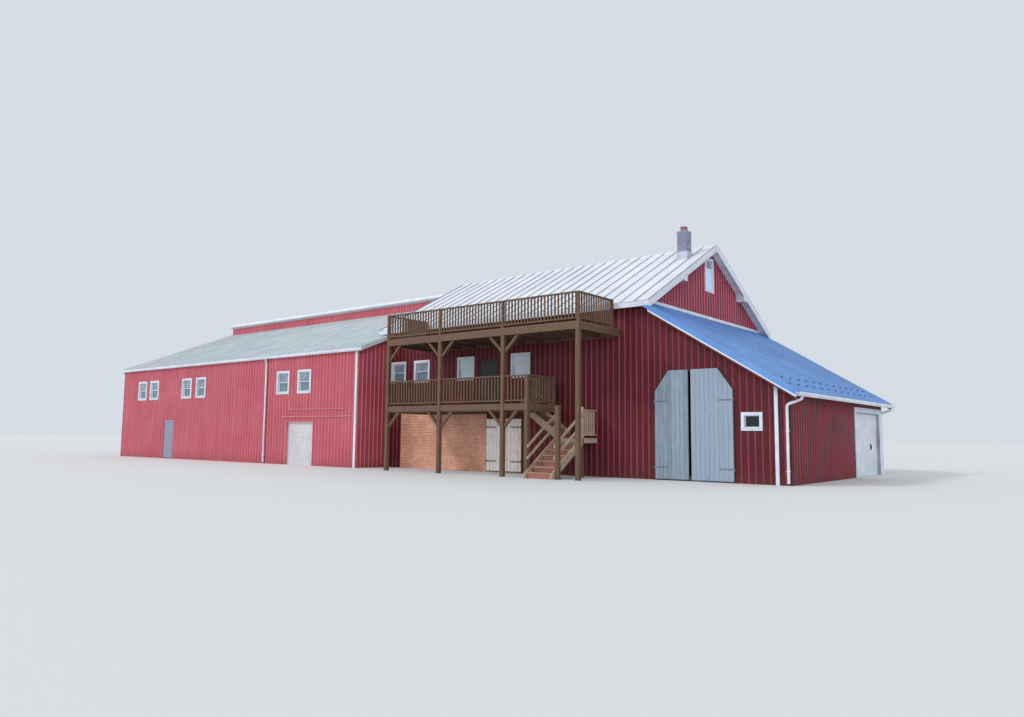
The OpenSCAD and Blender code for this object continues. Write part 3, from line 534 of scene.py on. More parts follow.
@dataclass(frozen=True)
class Paint(Finish):
    """Brushed oil paint on smooth board or coated aluminium: low sheen, a little grime."""

    grain: Point = (0.3, 0.3, 0.02)

    def draw(self, tree: Tree, place: Socket) -> dict[str, object]:
        """Grime gathers in soft patches and the brush leaves fine lines."""
        patches = stretched_noise(tree, place, EVEN, 1.6)
        lines = stretched_noise(tree, place, self.grain, 60.0)
        return {
            "Base_Color": node(tree, "ValToRGB", [(0.38, self.worn), (0.62, self.colour)], Fac=patches),
            "Normal": node(tree, "Bump", Strength=0.2, Distance=1 * MM, Height=lines),
        }


@dataclass(frozen=True)
class RakePaint(Paint):
    """White paint on the rake boards; on the lean-to's only a drip edge is white over a red board."""

    # The red board takes the walls' dark red: painted shade.
    board: str = "#5e1d25"
    drip: float = 55 * MM
    lean_front: float = 5.4
    lean_left: float = 0.44

    def draw(self, tree: Tree, place: Socket) -> dict[str, object]:
        """White as all trim, then red where a point lies low on a board outside the lean-to's end walls."""
        inputs = super().draw(tree, place)
        axes = node(tree, "SeparateXYZ", in0=place).outputs
        edge = node(tree, "Math", operation="MULTIPLY_ADD", in0=axes["X"], in1=PLAN.lean_slope, in2=axes["Z"])
        away = node(tree, "Math", operation="ABSOLUTE", in0=axes["Y"])
        limit = PLAN.lean_under(0) - self.drip
        low = node(tree, "Math", operation="LESS_THAN", in0=edge, in1=limit)
        out = node(tree, "Math", operation="GREATER_THAN", in0=away, in1=self.lean_front)
        right = node(tree, "Math", operation="GREATER_THAN", in0=axes["X"], in1=self.lean_left)
        share = node(tree, "Math", operation="MULTIPLY", in0=low, in1=out)
        share = node(tree, "Math", operation="MULTIPLY", in0=share, in1=right)
        mixed = node(tree, "Mix", data_type="RGBA", in0=share, in6=inputs["Base_Color"], in7=self.board)
        return {**inputs, "Base_Color": mixed.outputs[2]}


@dataclass(frozen=True)
class Timber(Finish):
    """Sawn boards left to the weather: long grain, greyed late wood and tone from board to board."""

    grain: Point = (0.35, 9.0, 9.0)
    flaking: float = 0.0
    under: str = "#8a8378"
    tone_share: float = 0.25

    def draw(self, tree: Tree, place: Socket) -> dict[str, object]:
        """Grain runs with the board; where the paint flakes, the bare wood shows."""
        grain = stretched_noise(tree, place, self.grain, 4.0, 6.0)
        patches = stretched_noise(tree, place, EVEN, 2.3)
        tone = node(tree, "Attribute", attribute_name="tone").outputs["Fac"]
        toned = node(tree, "Math", operation="MULTIPLY_ADD", in0=tone, in1=self.tone_share, in2=grain)
        blend = node(tree, "Math", operation="MULTIPLY_ADD", in0=patches, in1=0.3, in2=toned)
        colour = node(tree, "ValToRGB", [(0.48, self.worn), (0.95, self.colour)], Fac=blend)
        if self.flaking:
            flakes = stretched_noise(tree, place, tuple(2.2 * g for g in self.grain), 5.0, 8.0)
            edge = 0.2 * self.flaking
            bare = node(tree, "ValToRGB", [(0.33 + edge, "#ffffff"), (0.40 + edge, "#000000")], Fac=flakes)
            colour = node(
                tree, "Mix", data_type="RGBA", in0=bare, in6=colour, in7=self.under
            ).outputs[2]
        return {
            "Base_Color": colour,
            "Normal": node(tree, "Bump", Strength=0.4, Distance=2 * MM, Height=grain),
        }


@dataclass(frozen=True)
class Masonry(Finish):
    """Fired or cast stuff with a gritty face: brick, mortar, clay tile or concrete."""

    grit: float = 60.0
    tone_share: float = 0.3

    def draw(self, tree: Tree, place: Socket) -> dict[str, object]:
        """Each brick has its own tone, and grit and pores roughen it."""
        grit = stretched_noise(tree, place, EVEN, self.grit, 6.0)
        stains = stretched_noise(tree, place, EVEN, 1.2)
        tone = node(tree, "Attribute", attribute_name="tone").outputs["Fac"]
        toned = node(tree, "Math", operation="MULTIPLY_ADD", in0=tone, in1=self.tone_share, in2=grit)
        blend = node(tree, "Math", operation="ADD", in0=toned, in1=stains)
        blend = node(tree, "Math", operation="MULTIPLY", in0=blend, in1=0.75)
        return {
            "Base_Color": node(tree, "ValToRGB", [(0.75, self.worn), (1.0, self.colour)], Fac=blend),
            "Normal": node(tree, "Bump", Strength=0.6, Distance=3 * MM, Height=grit),
        }


@dataclass(frozen=True)
class Pane(Finish):
    """Float glass in front of a dark room: its colour paints the room's dark seen through it and a reflection
    of what lies before it.
    """

    bright: str = "#e2f4ff"

    def draw(self, tree: Tree, place: Socket) -> dict[str, object]:
        """The tone goes from the painted dark of a room to a painted reflection of a bright sky; a faint
        ripple bends the reflections.
        """
        dust = stretched_noise(tree, place, EVEN, 3.0)
        tone = node(tree, "Attribute", attribute_name="tone").outputs["Fac"]
        blend = node(tree, "Math", operation="MULTIPLY_ADD", in0=dust, in1=0.3, in2=tone)
        stops = [(0.15, self.colour), (0.65, self.worn), (1.0, self.bright)]
        ripple = stretched_noise(tree, place, EVEN, 1.5, 1.0)
        return {
            "Base_Color": node(tree, "ValToRGB", stops, Fac=blend),
            "IOR": 1.52,
            "Transmission_Weight": 0.15,
            "Normal": node(tree, "Bump", Strength=0.05, Distance=4 * MM, Height=ripple),
        }


@dataclass(frozen=True)
class Iron(Finish):
    """Forged iron or steel, a little rusty."""

    def draw(self, tree: Tree, place: Socket) -> dict[str, object]:
        """Rust blooms in spots over the metal."""
        rust = stretched_noise(tree, place, EVEN, 25.0)
        return {
            "Base_Color": node(tree, "ValToRGB", [(0.5, self.colour), (0.75, self.worn)], Fac=rust),
            "Metallic": 0.7,
            "Normal": node(tree, "Bump", Strength=0.3, Distance=1 * MM, Height=rust),
        }


# Roll-formed steel, oven-painted barn red with deep pans; the red is darkened to painted shade for the walls
# that stand in shade.
SHEET_PAN_SHADED = PaintedSheet("painted-steel-barn-red", "red_steel_sheets", "#4a141b", "#5f1d26")
# The gable's sheets, high up under the open sky: the same red, darkened less than the long walls', painted
# shade.
SHEET_PAN_GABLE_SHADED = PaintedSheet("painted-steel-barn-red-gable-shaded", "red_steel_sheets", "#6c2230", "#7d3040")
# The same red sheet on the wing, painted paler for the glare that washes it: painted light.
SHEET_PAN_GLARE_LIT = PaintedSheet("painted-steel-barn-red-glare-lit", "red_steel_sheets", "#ae4956", "#bc5c68")
# Rib crests are painted lighter than the pans: painted highlight where light catches the crests, lighter
# still on the gable and the wing with their walls' painted light.
SHEET_RIB_HIGHLIT, SHEET_RIB_GABLE_HIGHLIT, SHEET_RIB_GLARE_HIGHLIT = (
    PaintedSheet(f"painted-steel-rib-crest{where}", "red_steel_sheets", colour, worn, 0.45, minor_ribs=False)
    for where, colour, worn in (
        ("", "#8e303b", "#9e4049"),
        ("-gable", "#c5576a", "#d26b7c"),
        ("-glare-lit", "#c96c78", "#d27b86"),
    )
)
# Standing-seam steel in off-white paint: pale, with faint rain streaks down the slope.
ROOF_WHITE = RoofSheet("standing-seam-off-white", "white_metal_roof", "#d5dae0", "#e8ebee", 0.42, gloss=0.5)
# The seams' folds in a darker grey: painted shade.
ROOF_SEAM_SHADED = RoofSheet("standing-seam-fold-shadowed", "white_metal_roof", "#8d959f", "#a9b0b8")
# The wing's roof has dulled to a chalky grey.
ROOF_WING = RoofSheet("standing-seam-chalky-grey", "white_metal_roof", "#b8c1c5", "#d0d7da", 0.6)
# The wing's seams a little darker than its sheets: painted shade.
ROOF_WING_SEAM_SHADED = RoofSheet("standing-seam-fold-chalky-shaded", "white_metal_roof", "#a2abb0", "#b9c1c4", 0.6)
# Lean-to sheets of grey metal whose blue is the sky's reflection, painted into the colour.
ROOF_SKY_REFLECTION = RoofSheet(
    "roof-sheet-painted-sky-blue", "lean_to_metal_roof", "#5386c6", "#699cd9", 0.45, (0.5, 5.0, 0.5), gloss=0.4
)
GUARD_BLUE = Paint("snow-guard-dark-blue", "lean_to_metal_roof", "#3a5684", "#2c4266", 0.5, EVEN)
# Sheet zinc round the chimney, dull and bluish.
FLASHING = RoofSheet("sheet-zinc-flashing", "white_metal_roof", "#b3bbcc", "#c3cad9")
# White gloss on boards and on coated aluminium.
TRIM_WHITE = Paint("white-trim-paint", "white_paint", "#dde3ec", "#c9d1dc", 0.4)
RAKE_WHITE = RakePaint("white-rake-paint", "white_paint", "#dde3ec", "#c9d1dc", 0.4)
GUTTER_WHITE = Paint("white-coated-aluminium", "white_aluminium", "#dfe5ee", "#ccd4de", 0.35, EVEN)
# The gable's soffit boards, painted brighter and warmer than the other white trim: painted bounce light from
# below.
SOFFIT_BOUNCE_LIT = Paint("soffit-board-bounce-lit", "white_paint", "#f6efe8", "#e8dfd7")
# The wing's vehicle door has yellowed a little.
GATE_WHITE = Paint("vehicle-door-enamel", "white_paint", "#cfccd1", "#c2bfc5", 0.45)
# The ledge boards' paint has chalked.
LEDGE_PINK = Paint("chalked-red-board-paint", "red_steel_sheets", "#cf8a8f", "#bd6f77", 0.7)
# The vent's flat panel is white paint; its pale blue is the open sky's light on it, painted into the colour.
PANEL_SKY_LIT = Paint("panel-paint-sky-tinted", "white_paint", "#d5e8ff", "#cbe1fb", 0.3)
# Bare boards of a doorway's lining; their grey is painted shade in the deep jamb.
LINING_SHADED = Paint("lining-boards-painted-shade", "white_paint", "#98a3af", "#828d99", 0.7)
# Old whitewash over planks with fine bare lines; its bluish grey is the white in shade, painted shade.
PLANKS_WHITE_SHADED = Timber(
    "weathered-white-planks-shaded", "weathered_white_planks", "#93a3b3", "#66767f", 0.7, (8.0, 8.0, 0.25), 0.1,
    "#78838f", 0.5
)
# The low doors' boards, painted nearly white: painted sunlight under the deck.
PLANKS_PALE_SUNLIT = Timber(
    "weathered-pale-boards-sunlit", "weathered_white_planks", "#fdf3ea", "#e2d6ca", 0.7, (8.0, 8.0, 0.3), 0.2,
    "#8f857b", 0.4
)
# The leaves' cores show in the joints between planks; their darker grey is painted shade.
LEAF_CORE = Timber(
    "leaf-core-shadow", "weathered_white_planks", "#7b8896", "#66727f", 0.8, (8.0, 8.0, 0.4)
)
# Pressure-treated pine, gone brown and grey outdoors; one for each way the members run.
DECK_LONG = Timber("deck-pine-along", "deck_timber", "#7d5f4a", "#54402f", 0.75)
DECK_UPRIGHT = Timber("deck-pine-upright", "deck_timber", "#7a5c47", "#553f2f", 0.75, (9.0, 9.0, 0.35))
DECK_CROSS = Timber("deck-pine-across", "deck_timber", "#7d5f4a", "#54402f", 0.75, (9.0, 0.35, 9.0))
# The stair stands in the sun: its pine is painted paler than the deck's, painted sunlight.
STAIR_SUNLIT = Timber("stair-pine-sunlit", "deck_timber", "#cab89f", "#9f8d77", 0.75, (9.0, 0.35, 9.0))
TREAD_BROWN = Timber("stair-tread-boards", "deck_timber", "#b69779", "#8c6f5a", 0.75)
RISER_RED = Timber("stained-riser-board", "deck_timber", "#a0675a", "#7d5044", 0.7)
FLOOR_BOARDS = Timber("bare-floor-boards", "floor_boards", "#a3835f", "#7d6044", 0.7)
# Doors of boards and panels, stained nearly black or painted grey.
DOOR_DARK = Timber("dark-stained-door", "dark_door", "#3b3a3d", "#26262a", 0.5, (8.0, 8.0, 0.4))
DOOR_GREY = Timber("grey-painted-door", "grey_door", "#989bb0", "#81849a", 0.5, (8.0, 8.0, 0.4))
# Hard orange-brown brick in buff mortar; the brick is painted brighter, painted sunlight under the deck.
BRICK_SUNLIT = Masonry("orange-brown-brick-sunlit", "brick", "#e29b7b", "#bf7c60", 0.85, tone_share=0.28)
MORTAR = Masonry("buff-mortar", "brick", "#fbeee0", "#e0d2c4", 0.9)
CHIMNEY_BRICK = Masonry(
    "grey-brown-chimney-brick", "chimney_masonry", "#9899ac", "#7c7d91", 0.9, tone_share=0.25
)
CHIMNEY_MORTAR = Masonry("chimney-mortar", "chimney_masonry", "#a8aab9", "#8f91a1", 0.9)
CLAY = Masonry("clay-flue-tile", "clay_flue", "#b18799", "#92697a", 0.8)
CONCRETE = Masonry("trowelled-concrete", "concrete", "#a3a29c", "#84837e", 0.9, 25.0)
GLASS = Pane("window-float-glass", "window_glass", "#151e1d", "#7d92a0", 0.06)
# Straps and pins went under the same paint as their doors.
STRAP_PAINT = Paint("painted-over-iron", "black_iron", "#8d9ba9", "#717d89", 0.6, EVEN)
# Hot-dipped bolts, dulled to a spangled grey.
GALVANISED = Iron("hot-dip-galvanised-steel", "black_iron", "#94989c", "#7d776f")
# Forged and blackened, with a first bloom of rust.
IRON = Iron("blackened-iron", "black_iron", "#26262a", "#4a3228", 0.55)


# ---------------------------------------------------------------- the plan


@dataclass(frozen=True)
class Plan:
    """The building's main sizes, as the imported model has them."""

    barn_right: float = 0.075
    barn_left: float = -12.725
    corner_x: float = -12.575
    front: float = -5.25
    back: float = 5.25
    wing_front: float = -7.15
    wing_left: float = -33.95
    lean_right: float = 4.98
    wall: float = 0.15
    roof: float = 0.15
    gable_over: float = 0.36
    eave_over: float = 0.32
    wing_over: float = 0.05
    lean_over: float = 0.43
    wing_right_over: float = 0.27
    ridge_top: float = 8.99
    barn_slope: float = (8.99 - 6.16) / 5.25
    wing_eave: float = 5.10
    wing_slope: float = math.tan(math.radians(22))
    wing_crest: float = 8.48
    wing_crest_y: float = -0.15
    wing_back_slope: float = (8.48 - 5.85) / (5.25 + 0.15)
    lean_top: float = 6.03
    lean_slope: float = (6.03 - 3.0) / (4.98 - 0.075)
    storey: float = 2.5
    upper: float = 5.14
    deck_left: float = -10.05
    deck_front: float = -7.80
    upper_right: float = -0.88
    post: float = 0.14
    deck_board: float = 0.04
    brick_wall: Span = (-11.87, -6.97)
    stack: Hole = (-0.63, -0.23, -1.32, -0.92)
    stack_top: float = 9.39
    collar_top: float = 8.6
    big_doors: Span = (0.47, 3.23)
    big_doors_top: float = 3.62
    clip: Pair = (0.5, 0.69)
    lean_gate: Span = (1.58, 4.78)
    lean_gate_top: float = 2.38
    wing_gate: Span = (-17.50, -15.50)
    wing_gate_top: float = 1.95

    def barn_under(self, y: float) -> float:
        """Height of the main roof's underside."""
        return self.ridge_top - self.roof - self.barn_slope * abs(y)

    def wing_front_under(self, y: float) -> float:
        """Height of the underside of the wing's front slope."""
        return self.wing_eave - self.roof + self.wing_slope * (y - self.wing_front)

    def wing_back_under(self, y: float) -> float:
        """Height of the underside of the wing's back slope."""
        return self.wing_crest - self.roof - self.wing_back_slope * (y - self.wing_crest_y)

    def wing_under(self, y: float) -> float:
        """Height of the wing's roofs' underside."""
        return self.wing_front_under(y) if y < self.wing_crest_y else self.wing_back_under(y)

    def lean_under(self, x: float) -> float:
        """Height of the lean-to roof's underside."""
        return self.lean_top - self.roof - self.lean_slope * (x - self.barn_right)


@dataclass(frozen=True)
class Window:
    """One window: its wall, its centre along it, its sill and its opening."""

    side: Side
    plane: float
    u: float
    sill: float
    width: float
    height: float

    def hole(self, margin: float) -> Hole:
        """The opening with a margin round it, as low u, high u, low z and high z."""
        half = self.width / 2 + margin
        return (self.u - half, self.u + half, self.sill - margin, self.sill + self.height + margin)


def window_row(side: Side, plane: float, size: Sequence[float], *middles: float) -> list[Window]:
    """Windows of one size in a wall, at their middles."""
    return [Window(side, plane, u, *size) for u in middles]


PLAN = Plan()
# Sill, width and height of the usual windows.
WING_SIZE = (3.29, 0.85, 0.94)
BARN_SIZE = (3.68, 0.80, 0.82)
WING_WINDOWS = [
    *window_row(Side.FRONT, PLAN.wing_front, WING_SIZE, -31.5, -30.13, -26.58, -25.15, -17.87, -16.25),
    *window_row(Side.BACK, PLAN.back, WING_SIZE, -31.5, -30.13, -26.58, -22.0, -17.87, -16.25),
    *window_row(Side.LEFT, PLAN.wing_left, WING_SIZE, -4.7, -2.3, 1.5),
]
BARN_WINDOWS = [
    *window_row(Side.FRONT, PLAN.front, BARN_SIZE, -12.08, -10.64, -8.11, -5.28),
    *window_row(Side.BACK, PLAN.back, BARN_SIZE, -10.64, -8.11, -5.28, -2.4),
]
# The two on the deck whose glass is painted with the sky's reflection.
SKY_WINDOWS = BARN_WINDOWS[2:4]
SMALL_WINDOW = Window(Side.FRONT, PLAN.front, 3.79, 1.69, 0.54, 0.43)
ALL_WINDOWS = [*WING_WINDOWS, *BARN_WINDOWS, SMALL_WINDOW]

# Heights that lie below and above every wall.
UNDER, OVER = -1.0, 9.0


def flat(z: float) -> Rule:
    """The same height all along a wall."""
    return lambda _: z


@dataclass(frozen=True)
class Wall:
    """One clad wall: the way it looks, where it runs, its top and foot, and what isn't clad."""

    name: str
    side: Side
    plane: float
    span: Span
    top: Rule
    holes: tuple[Hole, ...] = ()
    finish: Finish = SHEET_RIB_HIGHLIT
    foot: Rule = flat(0)


# ---------------------------------------------------------------- sub-assemblies


@dataclass
class Assembly:
    """What every sub-assembly has: the plan that it follows."""

    plan: Plan


@dataclass
class Cladding(Assembly):
    """Ribbed wall sheets: a rib every 9 inches, cut round windows, doors and boards."""

    pitch: float = 9 * INCH
    rib_foot: float = 62 * MM
    rib_crest: float = 24 * MM
    rib_rise: float = 19 * MM
    casing: float = 72 * MM
    gate_casing: float = 0.18
    corner_board: float = 0.135
    shortest: float = 0.04
    cover_top: float = 5.87

    def door_strips(self, count: int = 30) -> tuple[Hole, ...]:
        """The big doors' opening with its cut corners, as narrow strips side by side.

        Args:
            count: how many strips.

        Returns:
            The strips as holes.
        """
        p = self.plan
        (left, right), (clip_w, clip_h) = p.big_doors, p.clip
        step = (right - left) / count
        strips = []
        for i in range(count):
            inside = (min(i, count - 1 - i) + 0.5) * step
            top = p.big_doors_top - clip_h * max(0.0, 1 - inside / clip_w)
            strips.append((left + i * step, left + (i + 1) * step, UNDER, top))
        return tuple(strips)

    def walls(self) -> list[Wall]:
        """Every clad wall of the building."""
        p = self.plan
        barn, lean = (p.corner_x, p.barn_right), (p.barn_right, p.lean_right)
        wing, deep = (p.wing_left, p.corner_x), (p.front, p.back)
        strip = flat(p.lean_under(p.barn_right) + p.roof + 0.11)
        lean_gate = (p.lean_gate[0] - self.gate_casing, p.back, UNDER, p.lean_gate_top + self.gate_casing)
        # The rain pipe's board and the big doors
        lean_holes = ((4.495, 4.615, UNDER, OVER), *self.door_strips())
        louvre = (-0.41, 0.41, 7.11, 8.52)
        # Bricks, the low doors and the deck's door
        barn_holes = ((*p.brick_wall, UNDER, 2.5), (-7.0, -5.19, UNDER, 2.07), (-7.34, -6.42, 2, 4.42))
        # The entrance, the vehicle door and the corner boards
        wing_holes = (
            (-28.81, -27.77, UNDER, 2.13), (-17.53, -15.47, UNDER, 1.98),
            (p.wing_left - 1, p.wing_left + self.corner_board, UNDER, OVER),
            (p.corner_x - self.corner_board, p.corner_x + 1, UNDER, OVER),
        )
        front, back, right, left = Side.FRONT, Side.BACK, Side.RIGHT, Side.LEFT
        eave, lean_eave = flat(p.barn_under(p.front)), flat(p.lean_under(p.lean_right))
        # The wing's ribs in their paler red: painted glare light.
        glare_lit = SHEET_RIB_GLARE_HIGHLIT
        return [
            Wall("barn_front_ribs", front, p.front, barn, eave, barn_holes),
            Wall("lean_to_front_ribs", front, p.front, lean, p.lean_under, lean_holes),
            Wall("lean_to_side_ribs", right, p.lean_right, deep, lean_eave, (lean_gate,)),
            Wall("lean_to_back_ribs", back, p.back, lean, p.lean_under),
            Wall("gable_ribs", right, p.barn_right, deep, p.barn_under, (louvre,), SHEET_RIB_GABLE_HIGHLIT, strip),
            Wall("barn_back_ribs", back, p.back, barn, eave),
            Wall("wing_back_ribs", back, p.back, wing, flat(p.wing_back_under(p.back))),
            Wall("wing_end_ribs", left, p.wing_left, (p.wing_front, p.back), p.wing_under, finish=glare_lit),
            Wall("wing_front_ribs", front, p.wing_front, wing, flat(p.wing_front_under(p.wing_front)),
                 wing_holes, glare_lit),
            Wall("wing_return_ribs", right, p.corner_x, (p.wing_front, p.front), p.wing_front_under,
                 finish=glare_lit),
            Wall("wing_crest_ribs", front, p.wing_crest_y, (p.wing_left + p.wall, p.barn_left),
                 flat(p.wing_back_under(p.wing_crest_y)), finish=glare_lit,
                 foot=flat(p.wing_front_under(p.wing_crest_y) + p.roof)),
            Wall("barn_left_gable_ribs", left, p.barn_left, deep, p.barn_under,
                 foot=lambda y: p.wing_under(y) + p.roof + 0.02),
        ]

    def steps(self, wall: Wall) -> range:
        """The numbers of the ribs that fit on a wall; one stands at each whole pitch.

        Args:
            wall: the wall.

        Returns:
            The whole pitches at which ribs stand.
        """
        first = math.ceil((wall.span[0] + self.rib_foot / 2) / self.pitch)
        last = math.floor((wall.span[1] - self.rib_foot / 2) / self.pitch)
        return range(first, last + 1)

    def intervals(self, wall: Wall, u: float) -> list[Span]:
        """The heights between which a rib runs at one place, free of the openings.

        Args:
            wall: the wall.
            u: the place along it.

        Returns:
            The foot and the head of each free run.
        """
        low_edge, high_edge = u - self.rib_foot / 2, u + self.rib_foot / 2
        foot = max(wall.foot(low_edge), wall.foot(high_edge))
        free = [(foot, min(wall.top(low_edge), wall.top(high_edge)) - 3 * MM)]
        windows = [w.hole(self.casing) for w in ALL_WINDOWS if (w.side, w.plane) == (wall.side, wall.plane)]
        for low_u, high_u, low_z, high_z in (*windows, *wall.holes):
            if low_u < high_edge and high_u > low_edge:
                free = [
                    run
                    for low, high in free
                    for run in ((low, min(high, low_z)), (max(low, high_z), high))
                    if run[1] - run[0] > self.shortest
                ]
        return free

    def rib(self) -> Piece:
        """One rib, 1 m long: a trapezoid on the wall plane with its crest towards -y."""
        rib = block("rib", (-self.rib_foot / 2, -self.rib_rise, 0), (self.rib_foot / 2, 2 * MM, 1))
        return shape(rib, facing(-ALONG_Y), size=(self.rib_crest / self.rib_foot, 1, 1))

    def build(self) -> None:
        """Clads every wall and covers the joints between the barn's long walls and the lean-to's."""
        for number, wall in enumerate(self.walls()):
            places = [
                wall.side.stand(wall.plane, step * self.pitch, low, tall=high - low)
                for step in self.steps(wall)
                for low, high in self.intervals(wall, step * self.pitch)
            ]
            hand_in(spread(self.rib(), places, wall.name, number), wall.finish)
        p, half = self.plan, self.plan.barn_right + 5 * MM
        covers = [
            block("cover", (-half, low, 2 * MM), (half, high, self.cover_top), 1 * MM)
            for low, high in ((p.front - 3 * MM, p.front + 1 * MM), (p.back - 1 * MM, p.back + 3 * MM))
        ]
        hand_in(join(covers, "wall_joint_covers"), SHEET_PAN_SHADED)


@dataclass(frozen=True)
class Slope:
    """One roof slope: its lower left corner as seen from outside, its ways along and up, its seams."""

    name: str
    corner: Point
    eave: Point
    rise: Point
    width: float
    finish: Finish = ROOF_SEAM_SHADED
    height: float = 32 * MM

    def ways(self) -> tuple[Vector, Vector, Vector, Vector]:
        """The corner, the way along the eave, the whole way up and the outward direction."""
        eave, rise = Vector(self.eave), Vector(self.rise)
        return Vector(self.corner), eave, rise, eave.cross(rise).normalized()


@dataclass
class SeamRoofs(Assembly):
    """Standing seams, ridge caps, edge strips and snow guards on the roofs."""

    pitch: float = 22 * INCH
    seam_w: float = 14 * MM
    chimney_gap: float = 0.02
    lean_end: float = 0.995
    lip: float = 2.2
    neck: float = 0.65
    eave_strip: Pair = (60 * MM, 6 * MM)
    rake_strip: Pair = (70 * MM, 7 * MM)
    strip_ends: float = 0.9
    cap_reach: float = 0.16
    cap_thick: float = 22 * MM
    guard_rows: Pair = (0.40, 0.85)
    guard_step: float = 0.75
    guard_start: float = 0.6

    def slopes(self) -> list[Slope]:
        """The roof slopes; the lean-to's is the last."""
        p = self.plan
        left, right = p.barn_left - p.gable_over, p.barn_right + p.gable_over
        run = p.back + p.eave_over
        wing_left, wing_edge = p.wing_left - p.wing_over, p.wing_front - p.wing_over
        wing_run, crest = p.back + p.wing_over, p.wing_crest_y - p.roof
        wing_z, wing_width = p.wing_front_under(wing_edge) + p.roof, p.barn_left - wing_left
        edge, half = p.lean_right + p.eave_over, p.back + p.lean_over
        z, rise = p.barn_under(run) + p.roof, p.barn_slope * run
        ahead, wing = (1, 0, 0), (ROOF_WING_SEAM_SHADED, 20 * MM)
        return [
            Slope("barn_front_seams", (left, -run, z), ahead, (0, run, rise), right - left),
            Slope("barn_back_seams", (right, run, z), (-1, 0, 0), (0, -run, rise), right - left),
            Slope("wing_front_seams", (wing_left, wing_edge, wing_z), ahead,
                  (0, p.wing_crest_y - wing_edge, p.wing_slope * (p.wing_crest_y - wing_edge)),
                  wing_width, *wing),
            Slope("wing_corner_seams", (p.barn_left, wing_edge, wing_z), ahead,
                  (0, p.front - wing_edge, p.wing_slope * (p.front - wing_edge)),
                  p.wall + p.wing_right_over, *wing),
            Slope("wing_back_seams", (p.barn_left, wing_run, p.wing_back_under(wing_run) + p.roof),
                  (-1, 0, 0), (0, crest - wing_run, p.wing_back_slope * (wing_run - crest)),
                  wing_width, *wing),
            Slope("lean_to_seams", (edge, -half, p.lean_under(edge) + p.roof), (0, 1, 0),
                  (p.barn_right - edge, 0, p.lean_slope * (edge - p.barn_right)), 2 * half,
                  ROOF_SKY_REFLECTION, 9 * MM),
        ]

    def seam(self, height: float) -> Piece:
        """One seam, 1 m long along y: an upright fold with a doubled lip along its top."""
        seam = block("seam", (-self.seam_w / 4, 0, -2 * MM), (self.seam_w / 4, 1, self.neck * height))
        shape(seam, facing(UP), lift=(0, 0, 1 * MM), size=(self.lip, 1, 1))
        return shape(seam, facing(UP), lift=(0, 0, (1 - self.neck) * height), size=(0.7, 1, 1))

    def lay_seams(self, slope: Slope) -> None:
        """Lays the seams of one slope, stopping them short of the chimney.

        Args:
            slope: the slope.
        """
        corner, eave, rise, up = slope.ways()
        low_x, high_x, low_y, high_y = self.plan.stack
        gap, count = self.chimney_gap, round(slope.width / self.pitch)
        places = []
        for step in range(count + 1):
            at = min(max(step * slope.width / count, self.seam_w), slope.width - self.seam_w)
            foot = corner + eave * at
            runs = [(0.0, 1.0)]
            if slope.name == "barn_front_seams" and low_x - gap < foot.x < high_x + gap:
                runs = [(0.0, (low_y - foot.y) / rise.y), ((high_y - foot.y) / rise.y, 1.0)]
            if slope.name == "lean_to_seams":
                # The main roof's overhang covers the upper edge
                indoors = abs(foot.y) < self.plan.back - 0.1
                runs = [(0.0, self.lean_end if indoors else self.strip_ends)]
            places += [frame_matrix(foot + rise * low, eave, rise * (high - low), up) for low, high in runs]
        hand_in(spread(self.seam(slope.height), places, slope.name), slope.finish)

    def edge_strips(self) -> None:
        """Folded strips that close the roofs' eaves and gable edges, each in its slope's seam finish: painted
        shade on the steel roofs' edges, and the sky's painted reflection on the lean-to's.
        """
        strips: dict[Finish, list[Matrix]] = {}
        inside = 0.5 * MM
        (eave_wide, eave_thick), (rake_wide, rake_thick) = self.eave_strip, self.rake_strip
        for slope in self.slopes():
            corner, eave, rise, up = slope.ways()
            side, length = rise / rise.length, rise.length
            if slope.name == "lean_to_seams":
                # Its ends stop below the main roof's eaves
                length *= self.strip_ends
            far = corner + eave * (slope.width - inside)
            strips.setdefault(slope.finish, []).extend((
                frame_matrix(corner + side * inside, side * eave_wide, eave * slope.width, up * eave_thick),
                frame_matrix(corner + eave * inside, eave * rake_wide, side * length, up * rake_thick),
                frame_matrix(far, -eave * rake_wide, side * length, up * rake_thick),
            ))
        for finish, places in strips.items():
            strip = shape(block("strip", (0, 0, -0.2), (1, 1, 1)), facing(UP), size=(0.9, 1, 1))
            hand_in(spread(strip, places, f"{finish.name}-edge-strips"), finish)

    def ridge_caps(self) -> None:
        """The folded cap along the main ridge and the one along the wing's crest."""
        p, reach = self.plan, self.cap_reach
        left, right = p.barn_left - p.gable_over, p.barn_right + p.gable_over
        crest_y, crest_z = p.wing_crest_y - p.roof, p.wing_crest + p.wing_back_slope * p.roof
        caps = []
        # The crest's cap folds down the red wall in front
        for low, high, y, z, front_reach, front_fall, back_fall in (
            (left, right, 0.0, p.ridge_top, reach, p.barn_slope, p.barn_slope),
            (p.wing_left - p.wing_over, left, crest_y, crest_z, 0.02, 6.0, p.wing_back_slope),
        ):
            cap = block("cap", (low, y - front_reach, z), (high, y + reach, z + self.cap_thick))
            cut(cap, ALONG_Y, (low, y, z))
            drape(cap, lambda at: at.z - abs(at.y - y) * (front_fall if at.y - y < 0 else back_fall))
            caps.append(cap)
        hand_in(join(caps, "ridge_caps"), ROOF_WHITE)

